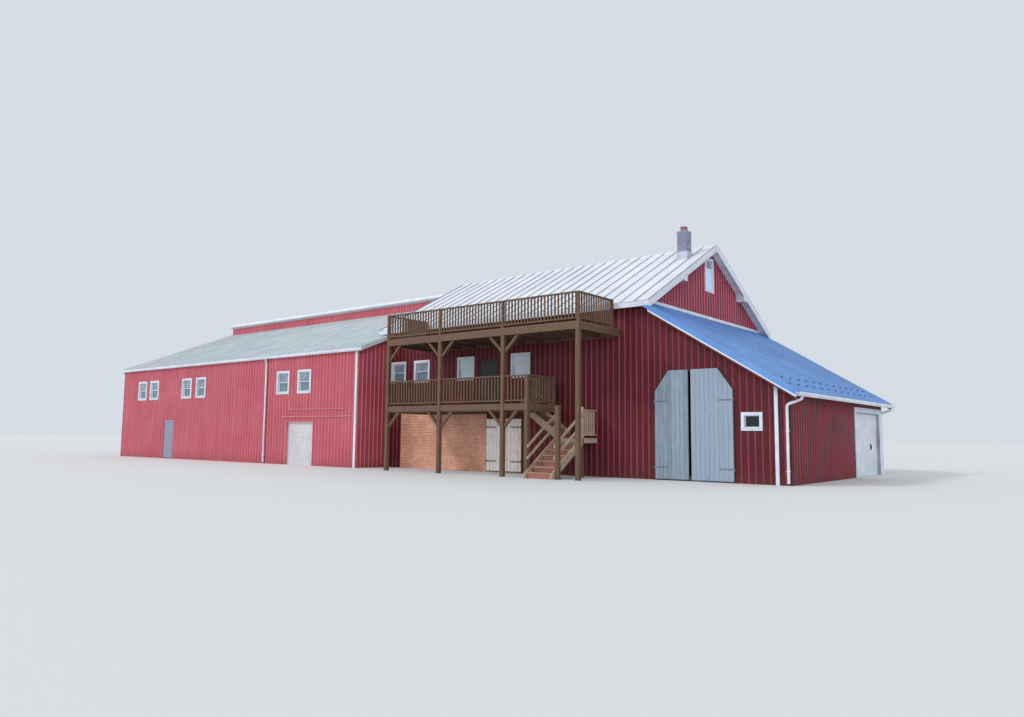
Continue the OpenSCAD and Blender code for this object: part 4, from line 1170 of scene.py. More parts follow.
    def snow_guards(self) -> None:
        """Two staggered rows of small brackets above the lean-to's eave."""
        slope = self.slopes()[-1]
        corner, eave, rise, up = slope.ways()
        side = rise.normalized()
        guard = block("guard", (-0.03, 0, 0), (0.03, 0.09, 4 * MM))
        shape(guard, facing(UP), inset=12 * MM, lift=(0, -0.01, 0.045), size=(0.9, 0.2, 1))
        places = [
            frame_matrix(
                corner + eave * (self.guard_start + (step + 0.5 * row) * self.guard_step) + side * height,
                eave, side, up,
            )
            for row, height in enumerate(self.guard_rows)
            for step in range(int((slope.width - 1.0) / self.guard_step))
        ]
        hand_in(spread(guard, places, "snow_guards"), GUARD_BLUE)

    def build(self) -> None:
        """Lays seams, strips, caps and guards."""
        for slope in self.slopes():
            self.lay_seams(slope)
        self.edge_strips()
        self.ridge_caps()
        self.snow_guards()


@dataclass
class Bricks(Assembly):
    """Brick faces on the wall under the deck and on the chimney, laid in running bond."""

    length: float = 203 * MM
    height: float = 57 * MM
    joint: float = 10 * MM
    proud: float = 5 * MM
    wall_top: float = 2.49
    end_gap: float = 0.02
    shortest: float = 0.03

    def brick(self) -> Piece:
        """One brick face, 1 wide, sitting on a plane at y = 0 and looking towards -y."""
        brick = block("brick", (0, -self.proud, 0), (1, 2 * MM, self.height))
        return shape(brick, facing(-ALONG_Y), size=(0.97, 1, 0.93))

    def courses(self, side: Side, plane: float, span: Span, low: float, high: float) -> list[Matrix]:
        """Places for one face's bricks, with half bricks at the ends of every other course.

        Args:
            side: the way the face looks.
            plane: where it stands.
            span: its ends.
            low: its foot.
            high: its head.

        Returns:
            One matrix for each brick.
        """
        places = []
        step_u, step_z = self.length + self.joint, self.height + self.joint
        for course in range(int((high - low) / step_z)):
            z = low + course * step_z + self.joint / 2
            at = span[0] - step_u / 2 * (course % 2)
            while at < span[1] - self.end_gap:
                start = max(at + self.joint / 2, span[0])
                end = min(at + self.length + self.joint / 2, span[1])
                if end - start > self.shortest:
                    places.append(side.stand(plane, start, z, wide=end - start))
                at += step_u
        return places

    def build(self) -> None:
        """Lays the wall and, from the flashing's collar up, the stack."""
        p = self.plan
        faces = self.courses(Side.FRONT, p.front, p.brick_wall, 0.0, self.wall_top)
        hand_in(spread(self.brick(), faces, "brick_faces", 5), BRICK_SUNLIT)
        along_x, along_y = p.stack[:2], p.stack[2:]
        faces = [
            place
            for side, plane, span in (
                (Side.FRONT, along_y[0], along_x), (Side.BACK, along_y[1], along_x),
                (Side.RIGHT, along_x[1], along_y), (Side.LEFT, along_x[0], along_y),
            )
            for place in self.courses(side, plane, span, p.collar_top, p.stack_top - 0.05)
        ]
        hand_in(spread(self.brick(), faces, "chimney_brick_faces", 6), CHIMNEY_BRICK)


@dataclass
class ChimneyDress(Assembly):
    """The chimney's cap stone, its sheet collar on the roof, and the rim of the flue tile."""

    cap_over: float = 18 * MM
    cap_span: Span = (-0.04, 0.03)
    cap_rim: float = 0.11
    collar_over: float = 14 * MM
    collar_rim: float = 12 * MM
    flue: float = 0.20
    flue_top: float = 9.61
    flue_over: float = 12 * MM
    flue_rim: Pair = (40 * MM, 0.05)

    def ring(self, name: str, half: float, low: float, high: float, rim: float) -> Piece:
        """A square ring round the stack's axis.

        Args:
            name: the piece's name.
            half: half of its outer width.
            low: its lowest height.
            high: its highest height.
            rim: how broad it is.

        Returns:
            The ring.
        """
        low_x, high_x, low_y, high_y = self.plan.stack
        x, y = (low_x + high_x) / 2, (low_y + high_y) / 2
        return hollow(block(name, (x - half, y - half, low), (x + half, y + half, high)), UP, rim)

    def build(self) -> None:
        """Adds the cap, the collar and the rim."""
        p = self.plan
        half = (p.stack[1] - p.stack[0]) / 2
        low, high = (p.stack_top + z for z in self.cap_span)
        cap = self.ring("chimney_cap", half + self.cap_over, low, high, self.cap_rim)
        hand_in(soften(cap, 8 * MM), CHIMNEY_MORTAR)
        top, over = p.collar_top, half + self.collar_over
        collar = self.ring("chimney_collar", over, top - 1, top, self.collar_rim)
        # Its foot follows the roof, 10 mm down in the sheet
        drape(
            collar, lambda at: p.ridge_top - p.barn_slope * abs(at.y) - 0.01 if at.z < top - 0.5 else top
        )
        hand_in(collar, FLASHING)
        wide, high = self.flue_rim
        over = self.flue / 2 + self.flue_over
        rim = self.ring("flue_rim", over, self.flue_top - high, self.flue_top, wide)
        hand_in(soften(rim, 5 * MM, 2), CLAY)


@dataclass
class Sashes(Assembly):
    """Double-hung sashes, one fixed small sash, and the sills under them."""

    lining: float = 0.03
    stile: float = 34 * MM
    small_stile: float = 22 * MM
    depth: float = 34 * MM
    glass: float = 5 * MM
    lap: float = 8 * MM
    apart: float = 0.55
    # The upper sash's glass is a little brighter: painted reflection.
    upper_sash_reflection: float = 0.08
    sill: float = 0.035
    sill_over: float = 0.16

    def tone(self, window: Window) -> float:
        """How bright a window's glass is painted: some with the sky's reflection, and the small one with the
        dark of its room.
        """
        if window is SMALL_WINDOW:
            return 0.0
        return 1.0 if window in SKY_WINDOWS else 0.45

    def build(self) -> None:
        """Fills every window; a double-hung one has its upper sash in front."""
        panes = []
        for name, windows, stile, rows in (
            ("wing_sashes", WING_WINDOWS, self.stile, (-1, 1)),
            ("barn_sashes", BARN_WINDOWS, self.stile, (-1, 1)),
            ("small_sash", [SMALL_WINDOW], self.small_stile, (0,)),
        ):
            width, height = windows[0].width - 2 * self.lining, windows[0].height - 2 * self.lining
            tall = height / 2 + stile / 2 if len(rows) > 1 else height
            rebate = stile - self.lap
            places, lights, tones = [], [], []
            for window in windows:
                for row in rows:
                    u, z = window.u - width / 2, window.sill + self.lining + (height - tall) * (row > 0)
                    out = self.apart * self.depth * row - self.plan.wall / 2
                    places.append(window.side.stand(window.plane, u, z, out))
                    lights.append(window.side.stand(window.plane, u + rebate, z + rebate, out))
                    tones.append(self.tone(window) + self.upper_sash_reflection * (row > 0))
            sash = block("sash", (0, -self.depth / 2, 0), (width, self.depth / 2, tall))
            hand_in(spread(soften(hollow(sash, ALONG_Y, stile), 4 * MM), places, name), TRIM_WHITE)
            far = (width - 2 * rebate, self.glass / 2, tall - 2 * rebate)
            pane = block("pane", (0, -self.glass / 2, 0), far, 1 * MM)
            panes.append(spread(pane, lights, name, tones=tones))
        hand_in(join(panes, "window_panes"), GLASS, instead_of=["window_glass"])
        sill = block("sill", (-0.5, -0.05, 0), (0.5, 0.05, self.sill), 8 * MM, 2)
        places = [
            w.side.stand(w.plane, w.u, w.sill - self.sill + self.lining, wide=w.width + self.sill_over)
            for w in ALL_WINDOWS
        ]
        hand_in(spread(sill, places, "window_sills"), TRIM_WHITE)


@dataclass(frozen=True)
class Leaf:
    """One hinged leaf: its body, its sides in x, its front face, its foot and head, and its tones."""

    name: str
    body: str
    span: Span
    face: float
    heights: Span
    finish: Finish
    tones: Span = (0.0, 1.0)


@dataclass
class PlankDoors(Assembly):
    """Planks, ledges and braces on the hinged leaves, each riding with its leaf."""

    plank: float = 0.16
    gap: float = 9 * MM
    thick: float = 5 * MM
    back_thick: float = 3 * MM
    foot: float = 0.04
    leaf: float = 0.05
    big_top: float = 3.6
    ledge_in: float = 0.05
    ledge_half: float = 0.06
    ledge_thick: float = 20 * MM
    end_ledges: float = 0.25
    brace_in: float = 0.12
    brace_half: float = 0.05
    brace_thick: float = 16 * MM
    rail: float = 0.11
    lock_rail: float = 0.85

    def big_leaves(self) -> tuple[Leaf, ...]:
        """The big doors' two leaves."""
        face, heights = self.plan.front - 0.056, (self.foot, self.big_top)
        return (
            # The left leaf's planks take darker tones than the right's: painted shade from the vines beside
            # it.
            Leaf("big_door_left", "big_left_leaf", (0.49, 1.69), face, heights, PLANKS_WHITE_SHADED, (0.0, 0.6)),
            Leaf("big_door_right", "big_right_leaf", (1.79, 3.21), face, heights, PLANKS_WHITE_SHADED, (0.5, 1.0)),
        )

    def inset_leaves(self) -> tuple[Leaf, ...]:
        """The leaves that stand in their openings, 6 mm behind the wall's face."""
        face, wing_face = self.plan.front + 6 * MM, self.plan.wing_front + 6 * MM
        low, wing_heights = (self.foot, 2.044), (self.foot, 2.094)
        return (
            Leaf("low_door_left", "low_left_leaf", (-6.964, -6.104), face, low, PLANKS_PALE_SUNLIT),
            Leaf("low_door_right", "low_right_leaf", (-6.088, -5.228), face, low, PLANKS_PALE_SUNLIT),
            Leaf("deck_door", "deck_door_leaf", (-7.314, -6.454), face, (2.506, 4.394), DOOR_DARK),
            Leaf("wing_door", "wing_door_leaf", (-28.774, -27.824), wing_face, wing_heights, DOOR_GREY),
        )

    def planks(self, leaf: Leaf, part: str, out: int, thick: float, seed: int) -> Piece:
        """Upright planks over one face of a leaf.

        Args:
            leaf: the leaf.
            part: the end of the piece's name.
            out: -1 for planks on the front, 1 for planks on the back.
            thick: how far they stand out.
            seed: fixes their tones.

        Returns:
            The planks, joined.
        """
        (low, high), (bottom, top) = leaf.span, leaf.heights
        face = leaf.face if out < 0 else leaf.face + self.leaf
        count = round((high - low) / self.plank)
        step = (high - low) / count
        near, far = sorted((face - out * MM, face + out * thick))
        plank = block("plank", (self.gap / 2, near, bottom), (step - self.gap / 2, far, top), 2 * MM)
        places = [Matrix.Translation((low + i * step, 0, 0)) for i in range(count)]
        chance = random.Random(seed)
        tones = [chance.uniform(*leaf.tones) for _ in places]
        return spread(plank, places, f"{leaf.name}_{part}", tones=tones)

    def ledges(self, leaf: Leaf) -> Piece:
        """Three ledges across a leaf's back, with a brace from each to the next.

        Args:
            leaf: the leaf.

        Returns:
            The ledges and braces, joined.
        """
        (low, high), (bottom, top), face = leaf.span, leaf.heights, leaf.face + self.leaf
        heights = (bottom + self.end_ledges, (bottom + top) / 2, top - self.end_ledges)
        half, far = self.ledge_half, face + self.ledge_thick
        ledge = block("ledge", (low + self.ledge_in, face, -half), (high - self.ledge_in, far, half), 4 * MM)
        name = f"{leaf.name}_ledges"
        pieces = [spread(ledge, [Matrix.Translation((0, 0, z)) for z in heights], name)]
        for lower, upper in zip(heights, heights[1:]):
            along = Vector((high - low - 2 * self.brace_in, 0, upper - lower - 2 * half))
            side = Vector((along.z, 0, -along.x)).normalized()
            place = frame_matrix((low + self.brace_in, face, lower + half), side, ALONG_Y, along)
            brace = block("brace", (-self.brace_half, 0, 0), (self.brace_half, self.brace_thick, 1), 3 * MM)
            pieces.append(spread(brace, [place], "brace"))
        return join(pieces, name)

    def panels(self, leaf: Leaf) -> Piece:
        """Two raised panels in frames on a leaf's front.

        Args:
            leaf: the leaf.

        Returns:
            The panels, joined.
        """
        (low, high), (bottom, top), rail = leaf.span, leaf.heights, self.rail
        middle = bottom + self.lock_rail
        pieces = []
        for z0, z1 in ((bottom + rail, middle), (middle + rail, top - rail)):
            panel = block("panel", (low + rail, leaf.face - 4 * MM, z0), (high - rail, leaf.face + MM, z1))
            pieces.append(shape(
                panel, facing(-ALONG_Y), inset=30 * MM, lift=(0, -6 * MM, 0), size=(0.94, 1, 0.97)
            ))
        return join(pieces, f"{leaf.name}_panels")

    def build(self) -> None:
        """Boards every leaf."""
        clip_w, clip_h = self.plan.clip
        for number, (leaf, hinge, inwards) in enumerate(zip(self.big_leaves(), (0.49, 3.21), (1, -1))):
            slant = Vector((clip_w, 0, clip_h)).normalized()
            # The leaf shuts 6 mm from the wall, so its back boards are thin
            for part, out, thick in (("planks", -1, self.thick), ("back_planks", 1, self.back_thick)):
                boards = self.planks(leaf, part, out, thick, 10 + number)
                cut(boards, (-inwards * slant.z, 0, slant.x), (hinge, 0, self.big_top - clip_h), away=True)
                hand_in(boards, leaf.finish, leaf.body)
        for number, leaf in enumerate(self.inset_leaves()):
            if leaf.finish is PLANKS_PALE_SUNLIT:
                front = self.planks(leaf, "planks", -1, self.thick, 20 + number)
            else:
                front = self.panels(leaf)
            hand_in(front, leaf.finish, leaf.body)
            hand_in(self.ledges(leaf), leaf.finish, leaf.body)


@dataclass
class VehicleDoors(Assembly):
    """Sections, linings and the latch of the two vehicle doors, which stay shut."""

    panel: float = 0.05
    section_front: float = 9 * MM
    play: float = 5 * MM
    lining: float = 0.02
    lining_depth: float = 0.10

    def section(self, width: float, height: float) -> Piece:
        """One flat section of a door, looking towards -y, with a groove pressed along its middle.

        Args:
            width: the section's width.
            height: its height.

        Returns:
            The section.
        """
        section = block("section", (0, -self.section_front, 2 * MM), (width, 2 * MM, height - 2 * MM))
        cut(section, UP, (0, 0, 0.49 * height), (0, 0, 0.51 * height))
        front, reach = facing(-ALONG_Y), 0.02 * height
        shape(
            section, lambda face: front(face) and abs(face.calc_center_median().z - height / 2) < reach,
            inset=2 * MM, move=(0, 5 * MM, 0),
        )
        return soften(section, 1.5 * MM)

    def sections(self) -> None:
        """Hangs the sections in both doorways."""
        p = self.plan
        lean_face, wing_face = p.lean_right - p.wall + self.panel, p.wing_front + p.wall - self.panel
        for name, side, face, (low, high), top, count, finish in (
            ("lean_to_gate_sections", Side.RIGHT, lean_face, p.lean_gate, p.lean_gate_top, 5, TRIM_WHITE),
            ("wing_gate_sections", Side.FRONT, wing_face, p.wing_gate, p.wing_gate_top, 4, GATE_WHITE),
        ):
            height = top / count
            places = [side.stand(face, low + self.play, i * height) for i in range(count)]
            hand_in(spread(self.section(high - low - 2 * self.play, height), places, name), finish)

    def linings(self) -> None:
        """Lines both doorways: grey boards in the lean-to's, painted shade, and red ones in the wing's, in
        the paler red of its painted glare.
        """
        p, thick = self.plan, self.lining
        # The wing's boards lap 30 mm over the wall's face; the lean-to's only seat in the opening
        for name, side, plane, (low, high), top, lap, over, finish in (
            ("lean_to_gate_linings", Side.RIGHT, p.lean_right, p.lean_gate, p.lean_gate_top,
             1 * MM, 0.0, LINING_SHADED),
            ("wing_gate_linings", Side.FRONT, p.wing_front, p.wing_gate, p.wing_gate_top,
             0.03, 0.03, SHEET_RIB_GLARE_HIGHLIT),
        ):
            out = sum(side.value)
            near, far = sorted((plane + out * thick, plane - out * self.lining_depth))
            boards = []
            for u0, u1, z0, z1 in (
                (low - lap, low + thick, 0, top + over),
                (high - thick, high + lap, 0, top + over),
                (low + thick, high - thick, top - thick, top + lap),
            ):
                corners = ((near, u0, z0), (far, u1, z1))
                if side is Side.FRONT:
                    corners = ((u0, near, z0), (u1, far, z1))
                boards.append(block("lining", *corners, 3 * MM))
            hand_in(join(boards, name), finish)

    def latch(self) -> None:
        """A dark latch plate with its raised grip on the lean-to's door."""
        face = self.plan.lean_right - self.plan.wall + self.panel + self.section_front
        latch = block("gate_handle", (face - 5 * MM, 3.76, 0.98), (face + 12 * MM, 3.86, 1.22))
        shape(latch, facing(ALONG_X), inset=25 * MM, lift=(0.035, 0, 0), size=(1, 0.7, 0.85))
        hand_in(soften(latch, 5 * MM, 2), IRON)

    def build(self) -> None:
        """Dresses both doors."""
        self.sections()
        self.linings()
        self.latch()


@dataclass
class DeckBoards(Assembly):
    """The two decks' boards, the stair's treads and risers, and the landing's boards."""

    stair: Span = (-2.96, -1.82)
    side_board: float = 0.045
    landing_y: float = -6.18
    board: float = 0.14
    gap: float = 6 * MM
    nose: float = 0.02
    steps: int = 13
    landing_step: int = 7
    tread: float = 0.28
    riser_thick: float = 0.018

    @property
    def riser(self) -> float:
        """Height of one step."""
        return self.plan.storey / self.steps

    def rows(self, low: float, high: float, front: float, back: float, z: float, seed: int) -> Piece:
        """Boards along x over a rectangle; long ones are butted from two lengths, staggered.

        Args:
            low: their left end.
            high: their right end.
            front: front edge of the first row.
            back: back edge of the last row.
            z: the walking height.
            seed: fixes their tones.

        Returns:
            The boards, joined.
        """
        count = round((back - front) / self.board)
        step = (back - front) / count
        lowest = (0, self.gap / 2, z - self.plan.deck_board)
        board = block("board", lowest, (1, step - self.gap / 2, z), 3 * MM)
        places = []
        for i in range(count):
            butt = low + (high - low) * (3 if i % 2 else 4) / 7
            ends = [(low, butt - 1 * MM), (butt + 1 * MM, high)] if high - low > 3 else [(low, high)]
            for start, end in ends:
                place = Matrix.Translation((start, front + i * step, 0))
                places.append(place @ Matrix.Diagonal((end - start, 1, 1, 1)))
        return spread(board, places, "boards", seed)

    def decks(self) -> None:
        """Boards the lower deck round the stair's well, and the upper deck."""
        p = self.plan
        # Where the upper flight reaches the lower deck
        well = self.stair[0] - (self.steps - self.landing_step - 1) * self.tread
        lower = [
            self.rows(p.deck_left, self.stair[0], p.deck_front + p.post, self.landing_y, p.storey, 31),
            self.rows(p.deck_left, well, self.landing_y, p.front, p.storey, 32),
        ]
        hand_in(join(lower, "lower_deck_planks"), DECK_LONG, instead_of=["lower_deck"])
        upper = self.rows(p.deck_left, p.upper_right, p.deck_front, p.front, p.upper, 33)
        hand_in(join([upper], "upper_deck_planks"), DECK_LONG, instead_of=["upper_deck_boards"])

    def flights(self, *shifts: float) -> tuple[list[Matrix], list[Matrix]]:
        """Places for the lower and the upper flight's steps, each shifted onwards along its flight.

        Args:
            *shifts: how far, once for each board of a step.

        Returns:
            The lower flight's matrices and the upper's.
        """
        start = self.landing_y - (self.landing_step - 1) * self.tread
        lower = [
            Matrix.Translation((0, start + i * self.tread + shift, i * self.riser))
            for i in range(self.landing_step - 1)
            for shift in shifts
        ]
        landing = self.landing_step
        upper = [
            Matrix.Translation((self.stair[0] - i * self.tread - shift, 0, (landing + i) * self.riser))
            for i in range(self.steps - landing - 1)
            for shift in shifts
        ]
        return lower, upper

    def stairs(self) -> None:
        """Treads of two boards side by side, the landing's boards, and the risers between treads."""
        p, side, top = self.plan, self.side_board, self.riser
        left, right = self.stair[0] + side, self.stair[1] - side
        front, back = self.landing_y + 2 * side, p.front - side
        under, half = top - p.deck_board, (self.tread + self.nose) / 2
        lower, upper = self.flights(-self.nose, half - self.nose)
        low_tread = block("tread", (left, 1 * MM, under), (right, half - 2 * MM, top), 5 * MM, 2)
        high_tread = block("tread", (-half + 2 * MM, front, under), (-1 * MM, back, top), 5 * MM, 2)
        treads = [
            spread(low_tread, lower, "tread", 34),
            self.rows(*self.stair, self.landing_y, p.front, self.landing_step * self.riser, 35),
            spread(high_tread, upper, "tread", 36),
        ]
        hand_in(join(treads, "stair_tread_boards"), TREAD_BROWN, instead_of=["stair_treads"])
        lower, upper = self.flights(0.0)
        thick, low, high = self.riser_thick, 2 * MM, under - 1 * MM
        low_riser = block("riser", (left + 1 * MM, 1 * MM, low), (right - 1 * MM, thick, high), 2 * MM)
        high_riser = block("riser", (-thick, front + 1 * MM, low), (-1 * MM, back - 1 * MM, high), 2 * MM)
        risers = [spread(low_riser, lower, "riser", 37), spread(high_riser, upper, "riser", 38)]
        hand_in(join(risers, "stair_risers"), RISER_RED)

    def build(self) -> None:
        """Lays the decks and the stair."""
        self.decks()
        self.stairs()


@dataclass
class Fasteners(Assembly):
    """Bolts in the deck's timbers and hex-headed screws along the wall sheets."""

    posts: tuple[float, ...] = (-10.05, -7.21, -4.16)
    newels: Pair = (-3.10, -1.82)
    drops: Pair = (0.06, 0.16)
    newel_heights: Pair = (0.08, 0.18)
    lower_right: float = -4.36
    rim_back: float = 0.0225
    joist: float = 0.08
    brace_face: float = -7.75
    brace_foot: float = 0.22 + 0.62 - 0.063
    brace_runs: Pair = (0.07, 0.49)
    screw_foot: float = 0.15
    screw_step: float = 0.9
    screw_rows: int = 11
    screw_aside: float = 0.048
    screw_margin: float = 0.03

    def head(self, name: str, sides: int, radius: float, washer: float, height: float) -> Piece:
        """A bolt or screw head on its washer, looking towards -y.

        Args:
            name: the template's name.
            sides: how many sides it has.
            radius: the washer's radius.
            washer: its thickness.
            height: how far the head stands out past it.

        Returns:
            The head, with its axis through the origin.
        """
        deselect()
        bpy.ops.mesh.primitive_cylinder_add(
            vertices=sides, radius=radius, depth=washer + 1 * MM, location=(0, -(washer - 1 * MM) / 2, 0),
            rotation=(math.pi / 2, 0, 0),
        )
        head = bpy.context.active_object
        head.name = head.data.name = name
        bpy.ops.object.transform_apply(location=True, rotation=True, scale=True)
        return shape(head, facing(-ALONG_Y), inset=0.25 * radius, lift=(0, -height, 0), size=(0.8, 1, 0.8))

    def bolts(self) -> None:
        """Carriage bolts where posts, beams, joists and braces meet."""
        p, half = self.plan, self.plan.post / 2
        lower, upper = p.storey, p.upper - p.deck_board
        spots = [
            (x + half, p.deck_front, z)
            for x in (*self.posts, self.newels[0])
            for z in (lower - drop for drop in self.drops)
        ]
        spots += [(x + half, p.deck_front, z) for x in self.newels for z in self.newel_heights]
        for right, count, set_back, top in (
            (p.upper_right, 12, 0.0, upper), (self.lower_right, 8, self.rim_back, lower)
        ):
            for i in range(count):
                x = p.deck_left + i * (right - p.deck_left - self.joist) / (count - 1) + self.joist / 2
                # A post stands in front of some of the lower deck's joists
                if not set_back or not any(post < x < post + p.post for post in self.posts):
                    spots += [(x, p.deck_front + set_back, top - drop) for drop in self.drops]
        for post in self.posts:
            for side, root in ((1, post + p.post), (-1, post)):
                if side > 0 or post != self.posts[0]:
                    spots += [
                        (root + side * run, self.brace_face, top - self.brace_foot + run)
                        for top in (upper, lower)
                        for run in self.brace_runs
                    ]
        places = [Matrix.Translation(spot) for spot in spots]
        hand_in(spread(self.head("bolt", 10, 17 * MM, 3 * MM, 6 * MM), places, "deck_bolts", 41), GALVANISED)

    def screws(self) -> None:
        """A row of screws every 0.9 m up the walls, one beside each rib, in the rib crests' finish with its
        painted highlight.
        """
        cladding, margin = Cladding(self.plan), self.screw_margin
        by_finish: dict[Finish, list[Matrix]] = {}
        for wall in cladding.walls():
            for step in cladding.steps(wall)[:-1]:
                u = step * cladding.pitch + self.screw_aside
                free = cladding.intervals(wall, u)
                for z in (self.screw_foot + row * self.screw_step for row in range(self.screw_rows)):
                    if any(low + margin < z < high - margin for low, high in free):
                        by_finish.setdefault(wall.finish, []).append(wall.side.stand(wall.plane, u, z))
        for finish, places in by_finish.items():
            screw = self.head("screw", 6, 8 * MM, 1.5 * MM, 4.5 * MM)
            hand_in(spread(screw, places, f"{finish.name}-screws", 42), finish)

    def build(self) -> None:
        """Drives the bolts and the screws."""
        self.bolts()
        self.screws()


@dataclass
class Trim(Assembly):
    """Soffits, fascias, rain pipes, the vent's boards and the ledges on the wing's wall."""

    pipe_radius: float = 0.045
    pipe_off: float = 0.065
    pipe_foot: float = 0.06
    pipe_fall: float = 0.36
    bend: float = 0.09
    bend_steps: int = 6
    gutter_drop: float = 0.16
    wing_pipe_x: float = -19.165
    strap_heights: Pair = (0.4, 1.6)
    strap_half: float = 0.048
    strap_reach: float = 0.113
    strap_high: float = 0.04

    def eave_boards(self) -> None:
        """White boards under the gable's overhang and fascias along the main roof's eaves."""
        p = self.plan
        run, left, wing_run = p.back + p.eave_over, p.barn_left - p.gable_over, p.back + p.wing_over
        low_x, high_x = p.barn_right + 2 * MM, p.barn_right + p.gable_over - 0.04
        soffits, fascias = [], []
        for side in (-1, 1):
            y = side * (run - 0.01)
            z = p.barn_under(y)
            soffits.append(frame_matrix(
                (low_x, y, z - 2 * MM), ALONG_X * (high_x - low_x), Vector((0, -y, p.barn_under(0) - z)),
                -12 * MM * UP,
            ))
        for x0, x1, out, y, z in (
            (left, p.barn_right + p.gable_over, -1, -run, p.barn_under(run)),
            (left, p.barn_right + p.gable_over, 1, run, p.barn_under(run)),
            (p.wing_left - p.wing_over, left, 1, wing_run, p.wing_back_under(wing_run)),
        ):
            fascias.append(frame_matrix(
                (x0, y + out * 2 * MM, z - 0.03), ALONG_Y * out * 20 * MM, ALONG_X * (x1 - x0),
                UP * (p.roof + 0.02),
            ))
        for name, places, finish in (
            ("gable_soffits", soffits, SOFFIT_BOUNCE_LIT), ("eave_fascias", fascias, TRIM_WHITE)
        ):
            hand_in(spread(block("board", (0, 0, 0), (1, 1, 1), 0.02), places, name), finish)

    def rounded(self, points: Sequence[Point]) -> list[Vector]:
        """The path with each corner turned in short steps.

        Args:
            points: the path's corners.

        Returns:
            The rounded path.
        """
        route = [Vector(points[0])]
        for before, here, after in zip(points, points[1:], points[2:]):
            corner = Vector(here)
            first = corner + (Vector(before) - corner).normalized() * self.bend
            last = corner + (Vector(after) - corner).normalized() * self.bend
            for t in (i / self.bend_steps for i in range(self.bend_steps + 1)):
                route.append(first * (1 - t) ** 2 + corner * 2 * t * (1 - t) + last * t**2)
        return [*route, Vector(points[-1])]

    def pipe(self, name: str, *points: Point) -> Piece:
        """A rain pipe along a path with rounded bends, as a closed mesh.

        Args:
            name: the piece's name.
            *points: the path's corners.

        Returns:
            The pipe.
        """
        curve = bpy.data.curves.new(name, "CURVE")
        curve.dimensions = "3D"
        curve.bevel_depth = self.pipe_radius
        curve.bevel_resolution = 3
        curve.use_fill_caps = True
        route = self.rounded(points)
        spline = curve.splines.new("POLY")
        spline.points.add(len(route) - 1)
        for point, place in zip(spline.points, route):
            point.co = (*place, 1)
        pipe = bpy.data.objects.new(name, curve)
        bpy.context.scene.collection.objects.link(pipe)
        activate(pipe)
        bpy.ops.object.convert(target="MESH")
        bpy.ops.object.shade_smooth_by_angle(angle=math.radians(40))
        return bpy.context.active_object

    def pipes(self) -> None:
        """The lean-to's two rain pipes and the wing's, with straps."""
        p, off, foot = self.plan, self.pipe_off, self.pipe_foot
        edge = p.lean_right + p.eave_over
        gutter_z = p.lean_under(edge) + p.roof - self.gutter_drop
        x, drop_x, turn = p.lean_right - 0.08, edge + off, gutter_z - 0.075
        pieces, straps = [], []
        for name, wall, out in (("front", p.front, -1), ("back", p.back, 1)):
            y = wall + out * off
            pieces.append(self.pipe(
                f"lean_to_{name}_pipe", (drop_x, y, gutter_z + 0.01), (drop_x, y, turn),
                (x, y, turn - self.pipe_fall * (drop_x - x)), (x, y, foot),
            ))
            straps.append((x, wall, out))
        x, y, drop_y = self.wing_pipe_x, p.wing_front - off, p.wing_front - p.wing_over - off
        gutter_z = p.wing_front_under(p.wing_front - p.wing_over) + p.roof - self.gutter_drop
        pieces.append(self.pipe(
            "wing_rain_pipe", (x, drop_y, gutter_z + 0.01), (x, drop_y, gutter_z - 0.06),
            (x, y, gutter_z - 0.16), (x, y, foot),
        ))
        straps.append((x, p.wing_front, -1))
        half = self.strap_half
        for x, wall, out in straps:
            near, far = sorted((wall, wall + out * self.strap_reach))
            for z in self.strap_heights:
                top = z + self.strap_high
                pieces.append(block("strap", (x - half, near, z), (x + half, far, top), 6 * MM))
        hand_in(join(pieces, "rain_pipes"), GUTTER_WHITE, instead_of=["downspouts"])

    def louvre_panel(self) -> None:
        """Two wide boards that close the gable's vent below its slats, pressed in round their edges."""
        face = self.plan.barn_right - 0.015
        boards = []
        for low, high in ((-0.268, -0.002), (0.002, 0.268)):
            board = block("board", (face - 2 * MM, low, 7.252), (face + 9 * MM, high, 8.078))
            boards.append(shape(board, facing(ALONG_X), inset=9 * MM, move=(3 * MM, 0, 0)))
        hand_in(join(boards, "louvre_panel_boards"), PANEL_SKY_LIT)

    def ledges(self) -> None:
        """Two ledge boards and two uprights on the wing's wall over its vehicle door."""
        y = self.plan.wing_front
        boards = [
            block("ledge", (x0, y - proud, z0), (x1, y, z1), 5 * MM)
            for x0, x1, proud, z0, z1 in (
                (-17.85, -12.9, 0.04, 2.15, 2.19),
                (-17.3, -13.2, 0.04, 2.48, 2.52),
                (-17.3, -17.25, 0.035, 2.52, 2.95),
                (-16.0, -15.95, 0.035, 2.52, 2.95),
            )
        ]
        hand_in(join(boards, "wing_wall_ledges"), LEDGE_PINK)

    def build(self) -> None:
        """Adds soffits, fascias, pipes, the vent's boards and ledges."""
        self.eave_boards()
        self.pipes()
        self.louvre_panel()
        self.ledges()


